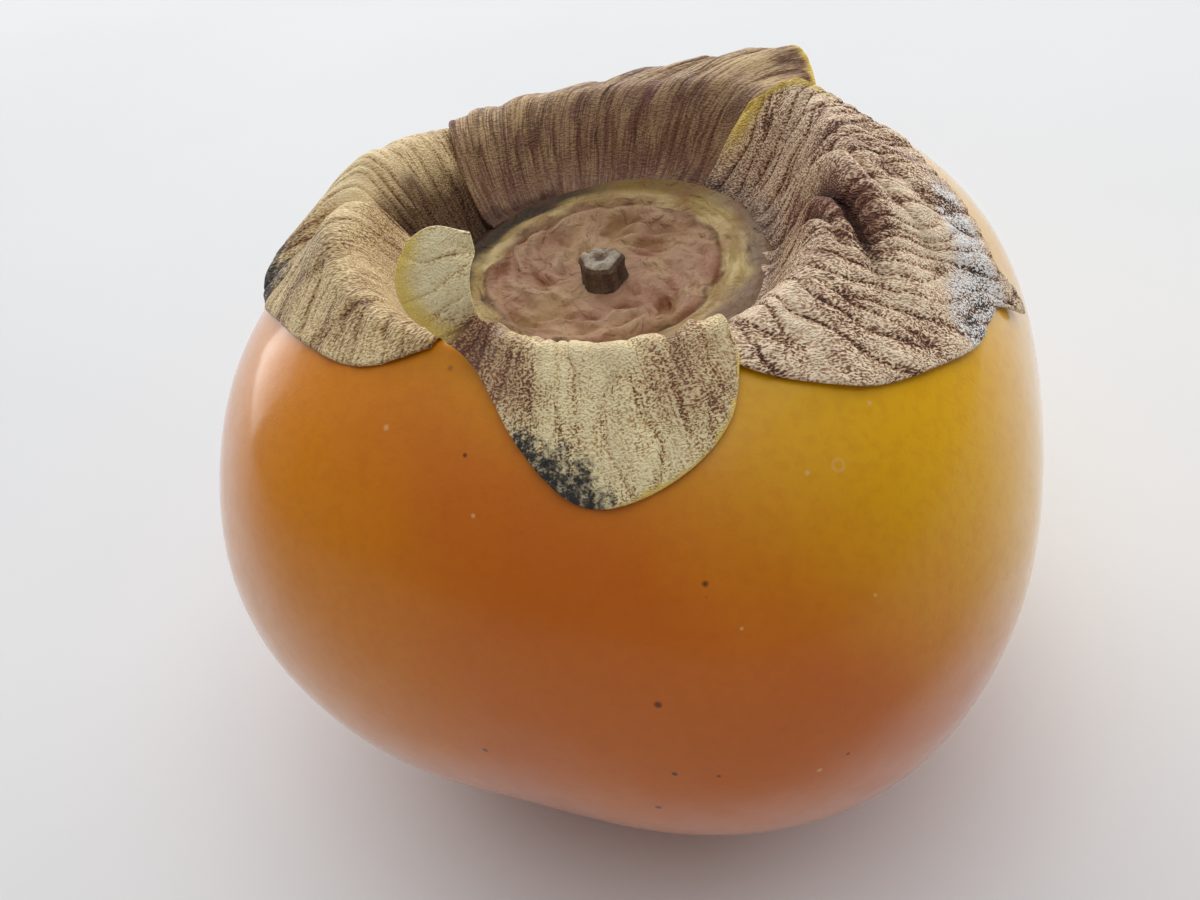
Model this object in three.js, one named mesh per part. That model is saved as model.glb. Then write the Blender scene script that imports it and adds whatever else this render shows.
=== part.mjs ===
// A persimmon with its dried calyx, resting on the small flat spot at its blossom end.
// Millimetres, +Z up along the fruit's axis, origin at the centre of the flat spot.
// Azimuths run anticlockwise seen from above, from +X.
import * as THREE from 'three';

// Fruit body: a squarish, slightly oval round with a basin at the stem end
const CHEEK_RADIUS = 37.5; // mean radius of the widest ring
const CHEEK_HEIGHT = 29.7; // height of the widest ring above the flat spot
const SHOULDER_RISE = 31; // rise from the widest ring to the crown, as if there were no basin
const SHOULDER_FULLNESS = 2.25; // superellipse exponent above the widest ring
const BOTTOM_DROP = 30.7; // drop from the widest ring to the point that the flat spot cuts off
const BOTTOM_FULLNESS = 2.02; // superellipse exponent below the widest ring
const LOBE_SHARE = 0.041; // how far the four cheeks stand out, as a share of the radius
const LOBE_AZIMUTH = 19; // azimuth of one of the four cheeks
const OVAL_SHARE = 0.028; // how far the long axis of the plan stands out
const OVAL_AZIMUTH = 131; // azimuth of the long axis
const BACK_DIP_SHARE = 0.07; // how much lower the shoulder is behind the calyx
const BACK_DIP_AZIMUTH = 100; // azimuth of the lowest shoulder

// Basin that holds the calyx
const BASIN_FLOOR_HEIGHT = 47.5;
const BASIN_FLOOR_SHARE = 0.372; // radius of its flat floor, as a share of the fruit's radius
const BASIN_CREST_SHARE = 0.565; // radius of the shoulder crest around it

// Calyx disc
const TOUCH_GAP = 0.3; // between pieces that touch
const DISC_RADIUS = 14;
const DISC_UNDERSIDE = BASIN_FLOOR_HEIGHT + 1.5 * TOUCH_GAP;
const DISC_CENTRE_HEIGHT = 48.7;
const DISC_RIM_HEIGHT = 50.2;
const DISC_BEVEL = 0.5; // how far its rim is bevelled, above and below
const DISC_RIDGE_RADIUS = 9.4; // ring ridge between the brown centre and the olive rim
const DISC_RIDGE_HEIGHT = 0.4;
const DISC_RIDGE_WIDTH = 0.7;
const DISC_WRINKLE = 0.28; // height of the puckers
const DISC_WRINKLE_BAND = { start: 3, full: 5, fade: 8, end: 12.5 }; // radii between which they lie
const DISC_RINGS = [13.3, 12, 10.7, 9.9, 9.4, 8.9, 8, 6.8, 5.6, 4.4, 3]; // radii of its faceted top

// Stem stub
const STEM_RADIUS = 2.1;
const STEM_HEIGHT = 3.1;
const STEM_OUTLINE = [[1.12, 0], [1.02, 0.22], [0.94, 0.55], [1, 0.85], [0.82, 1]]; // width, rise
const STEM_HOLLOW = 0.25; // how far the middle of its cut end has shrunk

// Sepals
const SEPAL_THICKNESS = 0.7;
const SEPAL_CLEARANCE = SEPAL_THICKNESS / 2 + TOUCH_GAP; // from the skin to the middle of a blade
const STEEPEST_CLEARANCE = 2.6; // limit on how much a slope may stretch that clearance upwards
const CLEARANCE_BLEND = 0.2; // how softly a blade comes down onto its clearance

// How finely the pieces are faceted
const FRUIT_COLUMNS = 60;
const BOTTOM_ROWS = 11;
const SHOULDER_ROWS = 12;
const BASIN_ROWS = 7;
const DISC_COLUMNS = 48;
const STEM_COLUMNS = 14;
const SEPAL_COLUMN_WIDTH = 1.5;
const SEPAL_ROWS = 9;

// Each sepal is a blade through rails that run along it, from where it leaves the disc to its margin.
// A rail point is [azimuth, radius, lift above the skin]. Ripples wave the margin, and a fold raises
// (or hollows) the blade along a line that runs outwards from the disc.
const SEPALS = {
  // Lies over the front shoulder; its left end is pinched to a neck and stands up as a spoon
  sepal_front: {
    rails: [
      [[240, 17.7, 10.2], [240, 17.9, 8.3], [240, 19.5, 5.3], [240, 19.2, 2.6], [242, 17.2, 2.4],
        [246, 14.9, 2.4], [258, 14.8, 2.4], [270, 14.8, 2.4], [282, 14.8, 2.4], [293, 14.8, 2.4]],
      [[234, 18.6, 10], [233.5, 20, 7.6], [234.5, 20.8, 5], [238, 20.2, 2.2], [243, 20.2, 1],
        [251, 20.3, 0.5], [260, 20.6, 0.4], [271, 20.8, 0.6], [281, 20.6, 1.5], [289, 20.3, 2.3]],
      [[230, 20.1, 9.2], [227.5, 21.6, 7.6], [229, 21.6, 4.6], [236, 21.1, 2], [243, 22.5, 1],
        [251, 26.2, 0.5], [260, 29.2, 0.4], [271, 29.3, 0.4], [281, 27.6, 0.8], [287, 24.3, 2.2]],
    ],
    ripples: 6,
    rippleHeight: 0.18,
    folds: [],
  },
  // The largest: spread over the right shoulder to a small pointed tip, pleated along its middle
  sepal_right: {
    rails: [
      [[-64, 14.8, 2.4], [-41, 14.8, 2.4], [-14, 14.8, 2.4], [13, 14.8, 2.4], [43, 14.8, 2.4]],
      [[-68.5, 20, 0.4], [-46, 21.5, 0.7], [-18, 22, 1], [9, 20.6, 0.9], [37, 17.2, 1]],
      [[-76, 23.4, 0.4], [-72, 25.3, 0.4], [-66, 27.2, 0.4], [-57.5, 29.4, 0.4], [-45.6, 30.7, 0.4],
        [-35.3, 31.6, 0.4], [-25.8, 32.3, 0.5], [-18.5, 34.1, 1.4], [-14.5, 32.4, 0.8], [-9, 30.8, 0.8],
        [-2, 29.2, 0.9], [5, 27.2, 1], [11, 25.2, 1.4], [19, 22.8, 1.6], [26, 20.4, 1.5], [33, 18.6, 1.2]],
    ],
    ripples: 7,
    rippleHeight: 0.2,
    folds: [{ across: 0.47, width: 0.05, height: 0.9 }, { across: 0.66, width: 0.05, height: 0.8 }],
  },
  // Stands against the far wall of the basin, its right corner lifted clear of the shoulder
  sepal_back: {
    rails: [
      [[44.5, 14.8, 2.4], [66, 14.8, 2.4], [86, 14.8, 2.4], [107, 14.8, 2.4], [128, 14.8, 2.4]],
      [[37.5, 19.2, 1], [58, 18.8, 1.2], [80, 18.8, 0.8], [104, 18.6, 0.9], [123.4, 18.6, 1.5]],
      [[33, 25.5, 3], [37, 26, 5.4], [46, 25, 4.4], [57, 24, 3.4], [73, 24, 2.4], [90, 24, 1.2],
        [105, 23.5, 1.2], [118.7, 22, 1.7]],
    ],
    ripples: 8,
    rippleHeight: 0.2,
    folds: [],
  },
  // Buckled into two ridges with a deep valley between them
  sepal_left: {
    rails: [
      [[130, 14.8, 2.4], [141, 14.8, 2.4], [149, 14.8, 2.3], [155, 14.8, 2.2], [160, 14.8, 2.3],
        [166, 14.8, 3.4], [177, 14.8, 3.4], [194, 14.8, 2.8], [212, 14.8, 2.4], [231, 14.8, 2.4]],
      [[128, 17, 0.7], [140, 17, 0.8], [149, 17.2, 0.7], [155.5, 17.3, 0.6], [160, 17.4, 1.2],
        [165.5, 17.4, 4.2], [178, 17.4, 3.8], [194, 17.3, 2.8], [211, 17.2, 1.8], [230, 16.8, 1.5]],
      [[125, 20, 0.6], [139, 20.3, 2.2], [149, 20.8, 3], [157.5, 21.3, 2.6], [164, 21.5, 1.2],
        [170.5, 21, 3.2], [181, 21.2, 2.8], [196, 21, 1.8], [212, 20.5, 1], [229, 18.6, 0.7]],
      [[122.5, 22.2, 0.6], [141, 24.2, 2.6], [153, 25.8, 2.4], [165, 27.2, 2.6], [172, 28.5, 1.9],
        [178, 28.2, 1], [187, 26.8, 0.8], [200, 25.4, 0.4], [215, 23.9, 0.4], [228, 20.6, 0.4]],
    ],
    ripples: 6,
    rippleHeight: 0.18,
    folds: [],
  },
};

const { cos, sin, hypot, sqrt, max, min, PI } = Math;
const { degToRad, smoothstep } = THREE.MathUtils;

/** Radius of the fruit's plan at an azimuth, as a share of the mean radius. */
function planShare(angle) {
  const lobes = LOBE_SHARE * cos(4 * (angle - degToRad(LOBE_AZIMUTH)));
  return 1 + lobes + OVAL_SHARE * cos(2 * (angle - degToRad(OVAL_AZIMUTH)));
}

/** Height of the skin above the widest ring, at a share of the radius from the axis. */
function skinHeight(share, angle) {
  const dip = BACK_DIP_SHARE * max(0, cos(angle - degToRad(BACK_DIP_AZIMUTH))) ** 2;
  const inside = max(0, 1 - share ** SHOULDER_FULLNESS) ** (1 / SHOULDER_FULLNESS);
  const crown = CHEEK_HEIGHT + SHOULDER_RISE * (1 - dip) * inside;
  const wall = smoothstep(share, BASIN_FLOOR_SHARE, BASIN_CREST_SHARE);
  return BASIN_FLOOR_HEIGHT + (crown - BASIN_FLOOR_HEIGHT) * wall;
}

/** Height of the skin at a radius in millimetres. */
function skinHeightAt(radius, angle) {
  return skinHeight(min(radius / (CHEEK_RADIUS * planShare(angle)), 1), angle);
}

function polarPoint(radius, angle, height) {
  return new THREE.Vector3(radius * cos(angle), radius * sin(angle), height);
}

/** Evenly spaced ring of points, each worked out from its angle. */
function ring(columns, pointAt) {
  return Array.from({ length: columns }, (_, column) => pointAt((2 * PI * column) / columns));
}

function geometryOf(points, faces) {
  const geometry = new THREE.BufferGeometry().setFromPoints(points);
  geometry.setIndex(faces.flat());
  geometry.computeVertexNormals();
  return geometry;
}

/** Closed body through rings from bottom to top, with a pole below the first and above the last. */
function ringBody(rings, bottomPole, topPole) {
  const columns = rings[0].length;
  const points = [...rings.flat(), bottomPole, topPole];
  const bottom = points.length - 2;
  const top = points.length - 1;
  const lastRing = (rings.length - 1) * columns;
  const faces = [];
  for (let column = 0; column < columns; column += 1) {
    const next = (column + 1) % columns;
    faces.push([bottom, next, column], [top, lastRing + column, lastRing + next]);
    for (let low = 0; low < lastRing; low += columns) {
      const high = low + columns;
      faces.push([low + column, low + next, high + next], [low + column, high + next, high + column]);
    }
  }
  return geometryOf(points, faces);
}

/** The fruit: flat spot, rounded cheeks, shoulder crest, then down the basin wall to its floor. */
function fruitGeometry() {
  const rings = [];
  const skinRing = (share, heightAt) => ring(FRUIT_COLUMNS, (angle) => (
    polarPoint(share * CHEEK_RADIUS * planShare(angle), angle, heightAt(angle))
  ));
  const flatSpotTurn = Math.asin((CHEEK_HEIGHT / BOTTOM_DROP) ** (BOTTOM_FULLNESS / 2));
  for (let row = 0; row < BOTTOM_ROWS; row += 1) {
    const turn = flatSpotTurn * (1 - row / BOTTOM_ROWS);
    const drop = BOTTOM_DROP * sin(turn) ** (2 / BOTTOM_FULLNESS);
    rings.push(skinRing(cos(turn) ** (2 / BOTTOM_FULLNESS), () => CHEEK_HEIGHT - drop));
  }
  const crestTurn = Math.acos(BASIN_CREST_SHARE ** (SHOULDER_FULLNESS / 2));
  for (let row = 0; row < SHOULDER_ROWS; row += 1) {
    const share = cos((crestTurn * row) / SHOULDER_ROWS) ** (2 / SHOULDER_FULLNESS);
    rings.push(skinRing(share, (angle) => skinHeight(share, angle)));
  }
  for (let row = 0; row <= BASIN_ROWS; row += 1) {
    const share = THREE.MathUtils.lerp(BASIN_CREST_SHARE, BASIN_FLOOR_SHARE, row / BASIN_ROWS);
    rings.push(skinRing(share, (angle) => skinHeight(share, angle)));
  }
  return ringBody(rings, new THREE.Vector3(), new THREE.Vector3(0, 0, BASIN_FLOOR_HEIGHT));
}

/** Top of the calyx disc: dished, with a ring ridge and puckers that fade towards the stem. */
function discHeight(radius, angle) {
  const dish = smoothstep(radius, DISC_RIDGE_RADIUS / 2, DISC_RADIUS);
  const ridge = DISC_RIDGE_HEIGHT * Math.exp(-(((radius - DISC_RIDGE_RADIUS) / DISC_RIDGE_WIDTH) ** 2));
  const { start, full, fade, end } = DISC_WRINKLE_BAND;
  const puckerBand = smoothstep(radius, start, full) * (1 - smoothstep(radius, fade, end));
  const pucker = sin(5 * angle + radius) * cos(3 * angle - 0.9 * radius);
  const rise = (DISC_RIM_HEIGHT - DISC_CENTRE_HEIGHT) * dish;
  return DISC_CENTRE_HEIGHT + rise + ridge + DISC_WRINKLE * pucker * puckerBand;
}

function discGeometry() {
  const flatRing = (radius, height) => ring(DISC_COLUMNS, (angle) => polarPoint(radius, angle, height));
  const topRing = (radius) => ring(DISC_COLUMNS, (angle) => (
    polarPoint(radius, angle, discHeight(radius, angle))
  ));
  const rings = [
    flatRing(DISC_RADIUS - DISC_BEVEL, DISC_UNDERSIDE),
    flatRing(DISC_RADIUS, DISC_UNDERSIDE + DISC_BEVEL),
    flatRing(DISC_RADIUS, DISC_RIM_HEIGHT - DISC_BEVEL),
    ...DISC_RINGS.map(topRing),
  ];
  const topPole = new THREE.Vector3(0, 0, DISC_CENTRE_HEIGHT);
  return ringBody(rings, new THREE.Vector3(0, 0, DISC_UNDERSIDE), topPole);
}

/** The dry stub of the fruit stalk: flared at the foot, lightly ribbed, its cut end rounded over. */
function stemGeometry() {
  const foot = DISC_CENTRE_HEIGHT + TOUCH_GAP;
  const rings = STEM_OUTLINE.map(([width, rise]) => ring(STEM_COLUMNS, (angle) => {
    const rib = 1 + 0.06 * sin(3 * angle + 0.5) + 0.05 * cos(5 * angle);
    return polarPoint(STEM_RADIUS * width * rib, angle, foot + STEM_HEIGHT * rise);
  }));
  const cutEnd = new THREE.Vector3(0, 0, foot + STEM_HEIGHT - STEM_HOLLOW);
  return ringBody(rings, new THREE.Vector3(0, 0, foot), cutEnd);
}

/** Point of a blade: straight above the skin by its lift, but never nearer than its clearance. */
function sepalPoint(azimuth, radius, lift) {
  const angle = degToRad(azimuth);
  const step = 0.05;
  const slope = (skinHeightAt(radius + step, angle) - skinHeightAt(radius - step, angle)) / (2 * step);
  const clearance = SEPAL_CLEARANCE * min(hypot(slope, 1), STEEPEST_CLEARANCE);
  const spare = lift - clearance;
  const softLift = clearance + 0.5 * (spare + sqrt(spare * spare + CLEARANCE_BLEND ** 2));
  return polarPoint(radius, angle, skinHeightAt(radius, angle) + softLift);
}

/** Grid of points on the middle of a sepal's blade, by columns along it and rows from disc to margin. */
function sepalGrid({ rails, ripples, rippleHeight, folds }) {
  const curveThrough = (points) => new THREE.CatmullRomCurve3(points, false, 'catmullrom', 0.5);
  const lines = rails.map((rail) => curveThrough(rail.map((point) => new THREE.Vector3(...point))));
  const edge = curveThrough(rails.at(-1).map((point) => sepalPoint(...point)));
  const columns = Math.round(edge.getLength() / SEPAL_COLUMN_WIDTH);
  return Array.from({ length: columns + 1 }, (_, column) => {
    const across = column / columns;
    const rib = curveThrough(lines.map((line) => line.getPoint(across)));
    return Array.from({ length: SEPAL_ROWS + 1 }, (__, row) => {
      const outwards = row / SEPAL_ROWS;
      const { x: azimuth, y: radius, z: lift } = rib.getPoint(outwards);
      const ripple = rippleHeight * sin(2 * PI * ripples * across) * outwards ** 2;
      const creases = folds.map(({ across: ridge, width, height }) => (
        height * Math.exp(-(((across - ridge) / width) ** 2)) * sin(PI * outwards)
      ));
      const relief = creases.reduce((total, crease) => total + crease, ripple);
      return sepalPoint(azimuth, radius, lift + relief);
    });
  });
}

/** Closed blade: the grid moved half its thickness to either side and joined round the rim. */
function bladeGeometry(grid, thickness) {
  const columns = grid.length;
  const rows = grid[0].length;
  const at = (column, row) => (
    grid[THREE.MathUtils.clamp(column, 0, columns - 1)][THREE.MathUtils.clamp(row, 0, rows - 1)]
  );
  const offsets = grid.map((line, column) => line.map((_, row) => {
    const outwards = at(column, row + 1).clone().sub(at(column, row - 1));
    const along = at(column + 1, row).clone().sub(at(column - 1, row));
    return outwards.cross(along).setLength(thickness / 2);
  }));
  const upper = grid.map((line, column) => line.map((point, row) => point.clone().add(offsets[column][row])));
  const lower = grid.map((line, column) => line.map((point, row) => point.clone().sub(offsets[column][row])));
  const lowerStart = columns * rows;
  const index = (column, row) => column * rows + row;
  const faces = [];
  for (let column = 0; column < columns - 1; column += 1) {
    for (let row = 0; row < rows - 1; row += 1) {
      const [near, far] = [index(column, row), index(column, row + 1)];
      const [nearNext, farNext] = [index(column + 1, row), index(column + 1, row + 1)];
      faces.push([near, far, farNext], [near, farNext, nearNext]);
      faces.push(...[[near, farNext, far], [near, nearNext, farNext]].map((face) => (
        face.map((corner) => corner + lowerStart)
      )));
    }
  }
  const rim = [
    ...Array.from({ length: rows - 1 }, (_, row) => index(0, row)),
    ...Array.from({ length: columns - 1 }, (_, column) => index(column, rows - 1)),
    ...Array.from({ length: rows - 1 }, (_, row) => index(columns - 1, rows - 1 - row)),
    ...Array.from({ length: columns - 1 }, (_, column) => index(columns - 1 - column, 0)),
  ];
  rim.forEach((corner, place) => {
    const next = rim[(place + 1) % rim.length];
    faces.push([corner, lowerStart + corner, lowerStart + next], [corner, lowerStart + next, next]);
  });
  return geometryOf([...upper.flat(), ...lower.flat()], faces);
}

function namedMesh(name, geometry, color, roughness) {
  const material = new THREE.MeshStandardMaterial({ color, roughness, metalness: 0 });
  const mesh = new THREE.Mesh(geometry, material);
  mesh.name = name;
  return mesh;
}

const persimmon = new THREE.Group();
persimmon.name = 'persimmon';
persimmon.add(
  namedMesh('fruit', fruitGeometry(), 0xb5651d, 0.34),
  namedMesh('calyx_disc', discGeometry(), 0xa08166, 0.7),
  namedMesh('stem_stub', stemGeometry(), 0x8c7e68, 0.85),
);
for (const [name, sepal] of Object.entries(SEPALS)) {
  persimmon.add(namedMesh(name, bladeGeometry(sepalGrid(sepal), SEPAL_THICKNESS), 0xa28a62, 0.8));
}

export default persimmon;
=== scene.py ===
"""Looks of a persimmon with a dried calyx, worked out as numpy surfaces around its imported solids.

Sizes are in millimetres, as on the solids, and become metres as a mesh is made. +Z is up along the
fruit's axis, and azimuths run anticlockwise from +X, seen from above.
"""

from __future__ import annotations

import logging
import math
from dataclasses import dataclass, field
from enum import Enum

import bpy
import numpy as np
from mathutils import Matrix


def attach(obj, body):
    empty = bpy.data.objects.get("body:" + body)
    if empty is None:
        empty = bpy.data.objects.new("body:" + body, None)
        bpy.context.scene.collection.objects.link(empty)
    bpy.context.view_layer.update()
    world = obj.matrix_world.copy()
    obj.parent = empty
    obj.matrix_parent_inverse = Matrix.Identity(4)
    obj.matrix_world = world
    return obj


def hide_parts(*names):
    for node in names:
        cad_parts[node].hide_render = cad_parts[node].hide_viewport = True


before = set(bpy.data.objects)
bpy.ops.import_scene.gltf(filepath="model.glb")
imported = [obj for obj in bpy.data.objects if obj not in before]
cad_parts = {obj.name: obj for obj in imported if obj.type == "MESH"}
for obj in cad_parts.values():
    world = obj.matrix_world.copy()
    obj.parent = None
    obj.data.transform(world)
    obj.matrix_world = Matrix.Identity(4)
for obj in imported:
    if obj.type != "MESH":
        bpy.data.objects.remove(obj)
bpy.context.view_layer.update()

MM = 0.001
LOG = logging.getLogger("persimmon")

Array = np.ndarray
Socket = bpy.types.NodeSocket
Span = tuple[float, float]
Triple = tuple[float, float, float]
Colour = Triple
Rail = tuple[Triple, ...]


class Slot(Enum):
    """The record's material slots."""

    FRUIT_SKIN = "fruit_skin"
    CALYX_DISC = "calyx_disc"
    STEM = "stem"
    SEPAL = "sepal"


class Paint(Enum):
    """Values that a surface carries point by point for its material to read.

    Attributes:
        GRAIN: Way along the margin and way out from the disc, in millimetres.
        RIDGE: Relief of the veins or lumps, from 0 to 1, or the stub's cut end.
        CHAR: Dead tips, or the stub's pith.
        RIM: Olive rims.
        MAUVE: Mauve, the leaf's own colour near the disc and painted shade in the darker patches.
        LINT: Grey bloom.
        PAINTED_LIGHT: Change of tone by painted light and shade.
        PAINTED_SHADE: Painted shade in hollows and at the sepals' feet.
    """

    GRAIN = "grain"
    RIDGE = "ridge"
    CHAR = "char"
    RIM = "rim"
    MAUVE = "mauve"
    LINT = "lint"
    PAINTED_LIGHT = "tint"
    PAINTED_SHADE = "painted_shade"


# Arrays and curves


def smoothstep(value: Array, low: float, high: float) -> Array:
    """Nought below low, one above high, and three t squared less two t cubed between.

    Args:
        value: The numbers to grade.
        low: Where the rise starts.
        high: Where the rise ends; it may be below low for a fall.

    Returns:
        The graded numbers, from 0 to 1.
    """
    share = np.clip((value - low) / (high - low), 0.0, 1.0)
    return share * share * (3.0 - 2.0 * share)


def bell(value: Array, centre: float | Array, width: float) -> Array:
    """A bell curve: e to the minus square of the distance from centre over width."""
    return np.exp(-(((value - centre) / width) ** 2))


def catmull_rom(points: Array, at: Array) -> Array:
    """A smooth curve through points spaced evenly in its parameter.

    Each stretch is the cubic whose end slopes are half the step between the two neighbours; the end
    points are mirrored to give the first and last slopes.

    Args:
        points: The points to pass through, along the first axis.
        at: Places along the curve, from 0 to 1.

    Returns:
        The curve's points, along the first axis.
    """
    last = len(points) - 1
    ends = (2 * points[:1] - points[1:2], points, 2 * points[-1:] - points[-2:-1])
    padded = np.concatenate(ends)
    place = np.clip(at, 0.0, 1.0) * last
    stretch = np.minimum(place.astype(int), last - 1)
    t = (place - stretch).reshape((-1,) + (1,) * (points.ndim - 1))
    before, start, end, after = (padded[stretch + step] for step in range(4))
    slopes = (end - before) * t
    bend = (2 * before - 5 * start + 4 * end - after) * t**2
    twist = (3 * start - before - 3 * end + after) * t**3
    return start + 0.5 * (slopes + bend + twist)


def edge_spaced(count: int, rounding: float) -> Array:
    """Places from 0 to 1, even in the middle and crowded where an edge is rounded over.

    Args:
        count: Number of even places between the rounded edges.
        rounding: Share of the length that each rounded edge takes.

    Returns:
        The places in order, with both ends.
    """
    turn = np.linspace(0.0, math.pi / 2, 5)[:-1]
    edge = rounding * (1.0 - np.cos(turn))
    return np.concatenate([edge, np.linspace(rounding, 1.0 - rounding, count), 1.0 - edge[::-1]])


class GradientNoise:
    """Smooth noise, about -1 to 1, from seeded slopes on a square lattice that repeats at its edge."""

    def __init__(self, seed: int, size: int = 128) -> None:
        """Draw one slope direction for each lattice corner.

        Args:
            seed: Seed of the draw.
            size: Corners along each side of the lattice.
        """
        angle = np.random.default_rng(seed).uniform(0.0, 2 * math.pi, (size, size))
        self.slope_x = np.cos(angle)
        self.slope_y = np.sin(angle)
        self.size = size

    def at(self, x: Array, y: Array) -> Array:
        """Blend of the four corner slopes around each point, by the quintic 6t5 - 15t4 + 10t3.

        Args:
            x: First coordinates, in lattice steps.
            y: Second coordinates, of the same shape.

        Returns:
            The noise at each point.
        """
        column = np.floor(x).astype(int)
        row = np.floor(y).astype(int)
        left = x - column
        low = y - row

        def corner(step_x: int, step_y: int) -> Array:
            """Slope of one corner times the way from it.

            Args:
                step_x: 0 for the corner to the left, 1 for that to the right.
                step_y: 0 for the corner below, 1 for that above.

            Returns:
                What the corner adds at each point.
            """
            i = (column + step_x) % self.size
            j = (row + step_y) % self.size
            return self.slope_x[i, j] * (left - step_x) + self.slope_y[i, j] * (low - step_y)

        blend_x = left**3 * (left * (6 * left - 15) + 10)
        blend_y = low**3 * (low * (6 * low - 15) + 10)
        bottom = corner(0, 0) + blend_x * (corner(1, 0) - corner(0, 0))
        top = corner(0, 1) + blend_x * (corner(1, 1) - corner(0, 1))
        return 1.5 * (bottom + blend_y * (top - bottom))

    def fractal(self, x: Array, y: Array, octaves: int = 3) -> Array:
        """Sum of octaves, each twice as fine and half as strong as the one before."""
        return sum(self.at(x * 2**k + 17 * k, y * 2**k + 31 * k) / 2**k for k in range(octaves))

    def ridged(self, x: Array, y: Array) -> Array:
        """One less twice the size of the noise: sharp crests along its zero lines, from -1 to 1."""
        return 1.0 - 2.0 * np.minimum(np.abs(self.at(x, y)), 1.0)


# Meshes


@dataclass
class SurfaceMesh:
    """Points, faces and painted values that make one Blender mesh.

    Attributes:
        points: Places in millimetres, one row each.
        quads: Corner numbers of the four-sided faces, anticlockwise seen from outside.
        triangles: Corner numbers of the three-sided faces.
        paint: Painted values by name, a number or three for each point.
    """

    points: Array
    quads: Array
    triangles: Array = field(default_factory=lambda: np.empty((0, 3), int))
    paint: dict[Paint, Array] = field(default_factory=dict)

    def to_object(self, name: str) -> bpy.types.Object:
        """Put the arrays into a smooth-shaded mesh object at the origin.

        Args:
            name: The object's name.

        Returns:
            The new object, linked to the scene.
        """
        mesh = bpy.data.meshes.new(name)
        corners = np.concatenate([self.quads.ravel(), self.triangles.ravel()]).astype(np.int32)
        sides = np.repeat([4, 3], [len(self.quads), len(self.triangles)])
        starts = np.concatenate([[0], np.cumsum(sides)[:-1]]).astype(np.int32)
        mesh.vertices.add(len(self.points))
        mesh.vertices.foreach_set("co", (self.points * MM).astype(np.float32).ravel())
        mesh.loops.add(len(corners))
        mesh.loops.foreach_set("vertex_index", corners)
        mesh.polygons.add(len(sides))
        mesh.polygons.foreach_set("loop_start", starts)
        mesh.update(calc_edges=True)
        mesh.validate()
        mesh.shade_smooth()
        for label, values in self.paint.items():
            kind, slot = ("FLOAT_VECTOR", "vector") if values.ndim == 2 else ("FLOAT", "value")
            attribute = mesh.attributes.new(label.value, kind, "POINT")
            attribute.data.foreach_set(slot, values.astype(np.float32).ravel())
        piece = bpy.data.objects.new(name, mesh)
        bpy.context.scene.collection.objects.link(piece)
        return piece


def grid_quads(index: Array) -> Array:
    """Four-sided faces of a grid of point numbers.

    Args:
        index: Point numbers by row and column.

    Returns:
        One row of four corners for each face, in the order row, next column, next row.
    """
    corners = (index[:-1, :-1], index[:-1, 1:], index[1:, 1:], index[1:, :-1])
    return np.stack(corners, axis=-1).reshape(-1, 4)


def ring_body(rings: Array, bottom: float, top: float) -> SurfaceMesh:
    """Closed body through rings of points from bottom to top, with a pole on the axis at each end.

    Args:
        rings: Points by ring and column, anticlockwise seen from above.
        bottom: Height of the pole below the first ring.
        top: Height of the pole above the last ring.

    Returns:
        The closed surface: the rings' points, then the two poles.
    """
    count, columns = rings.shape[:2]
    index = np.arange(count * columns).reshape(count, columns)
    wrapped = np.concatenate([index, index[:, :1]], axis=1)
    first, last = wrapped[0], wrapped[-1]
    low = np.full(columns, count * columns)
    fans = (
        np.stack([low, first[1:], first[:-1]], axis=-1),
        np.stack([low + 1, last[:-1], last[1:]], axis=-1),
    )
    poles = np.array([[0.0, 0.0, bottom], [0.0, 0.0, top]])
    points = np.concatenate([rings.reshape(-1, 3), poles])
    return SurfaceMesh(points, grid_quads(wrapped), np.concatenate(fans))


def polar(radius: Array, angle: Array, height: Array) -> Array:
    """Points from radius, angle in radians and height."""
    radius, angle, height = np.broadcast_arrays(radius, angle, height)
    return np.stack([radius * np.cos(angle), radius * np.sin(angle), height], axis=-1)


def around(columns: int) -> Array:
    """Evenly spaced angles once round the axis, in radians."""
    return np.arange(columns) * (2 * math.pi / columns)


def settle(piece: bpy.types.Object, node: str, material: bpy.types.Material) -> None:
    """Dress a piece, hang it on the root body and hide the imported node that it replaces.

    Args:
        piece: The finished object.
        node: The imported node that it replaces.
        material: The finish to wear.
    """
    piece.data.materials.append(material)
    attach(piece, "root")
    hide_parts(node)
    LOG.info("%s: %d points, %d faces", piece.name, len(piece.data.vertices), len(piece.data.polygons))


# Shader building


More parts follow.
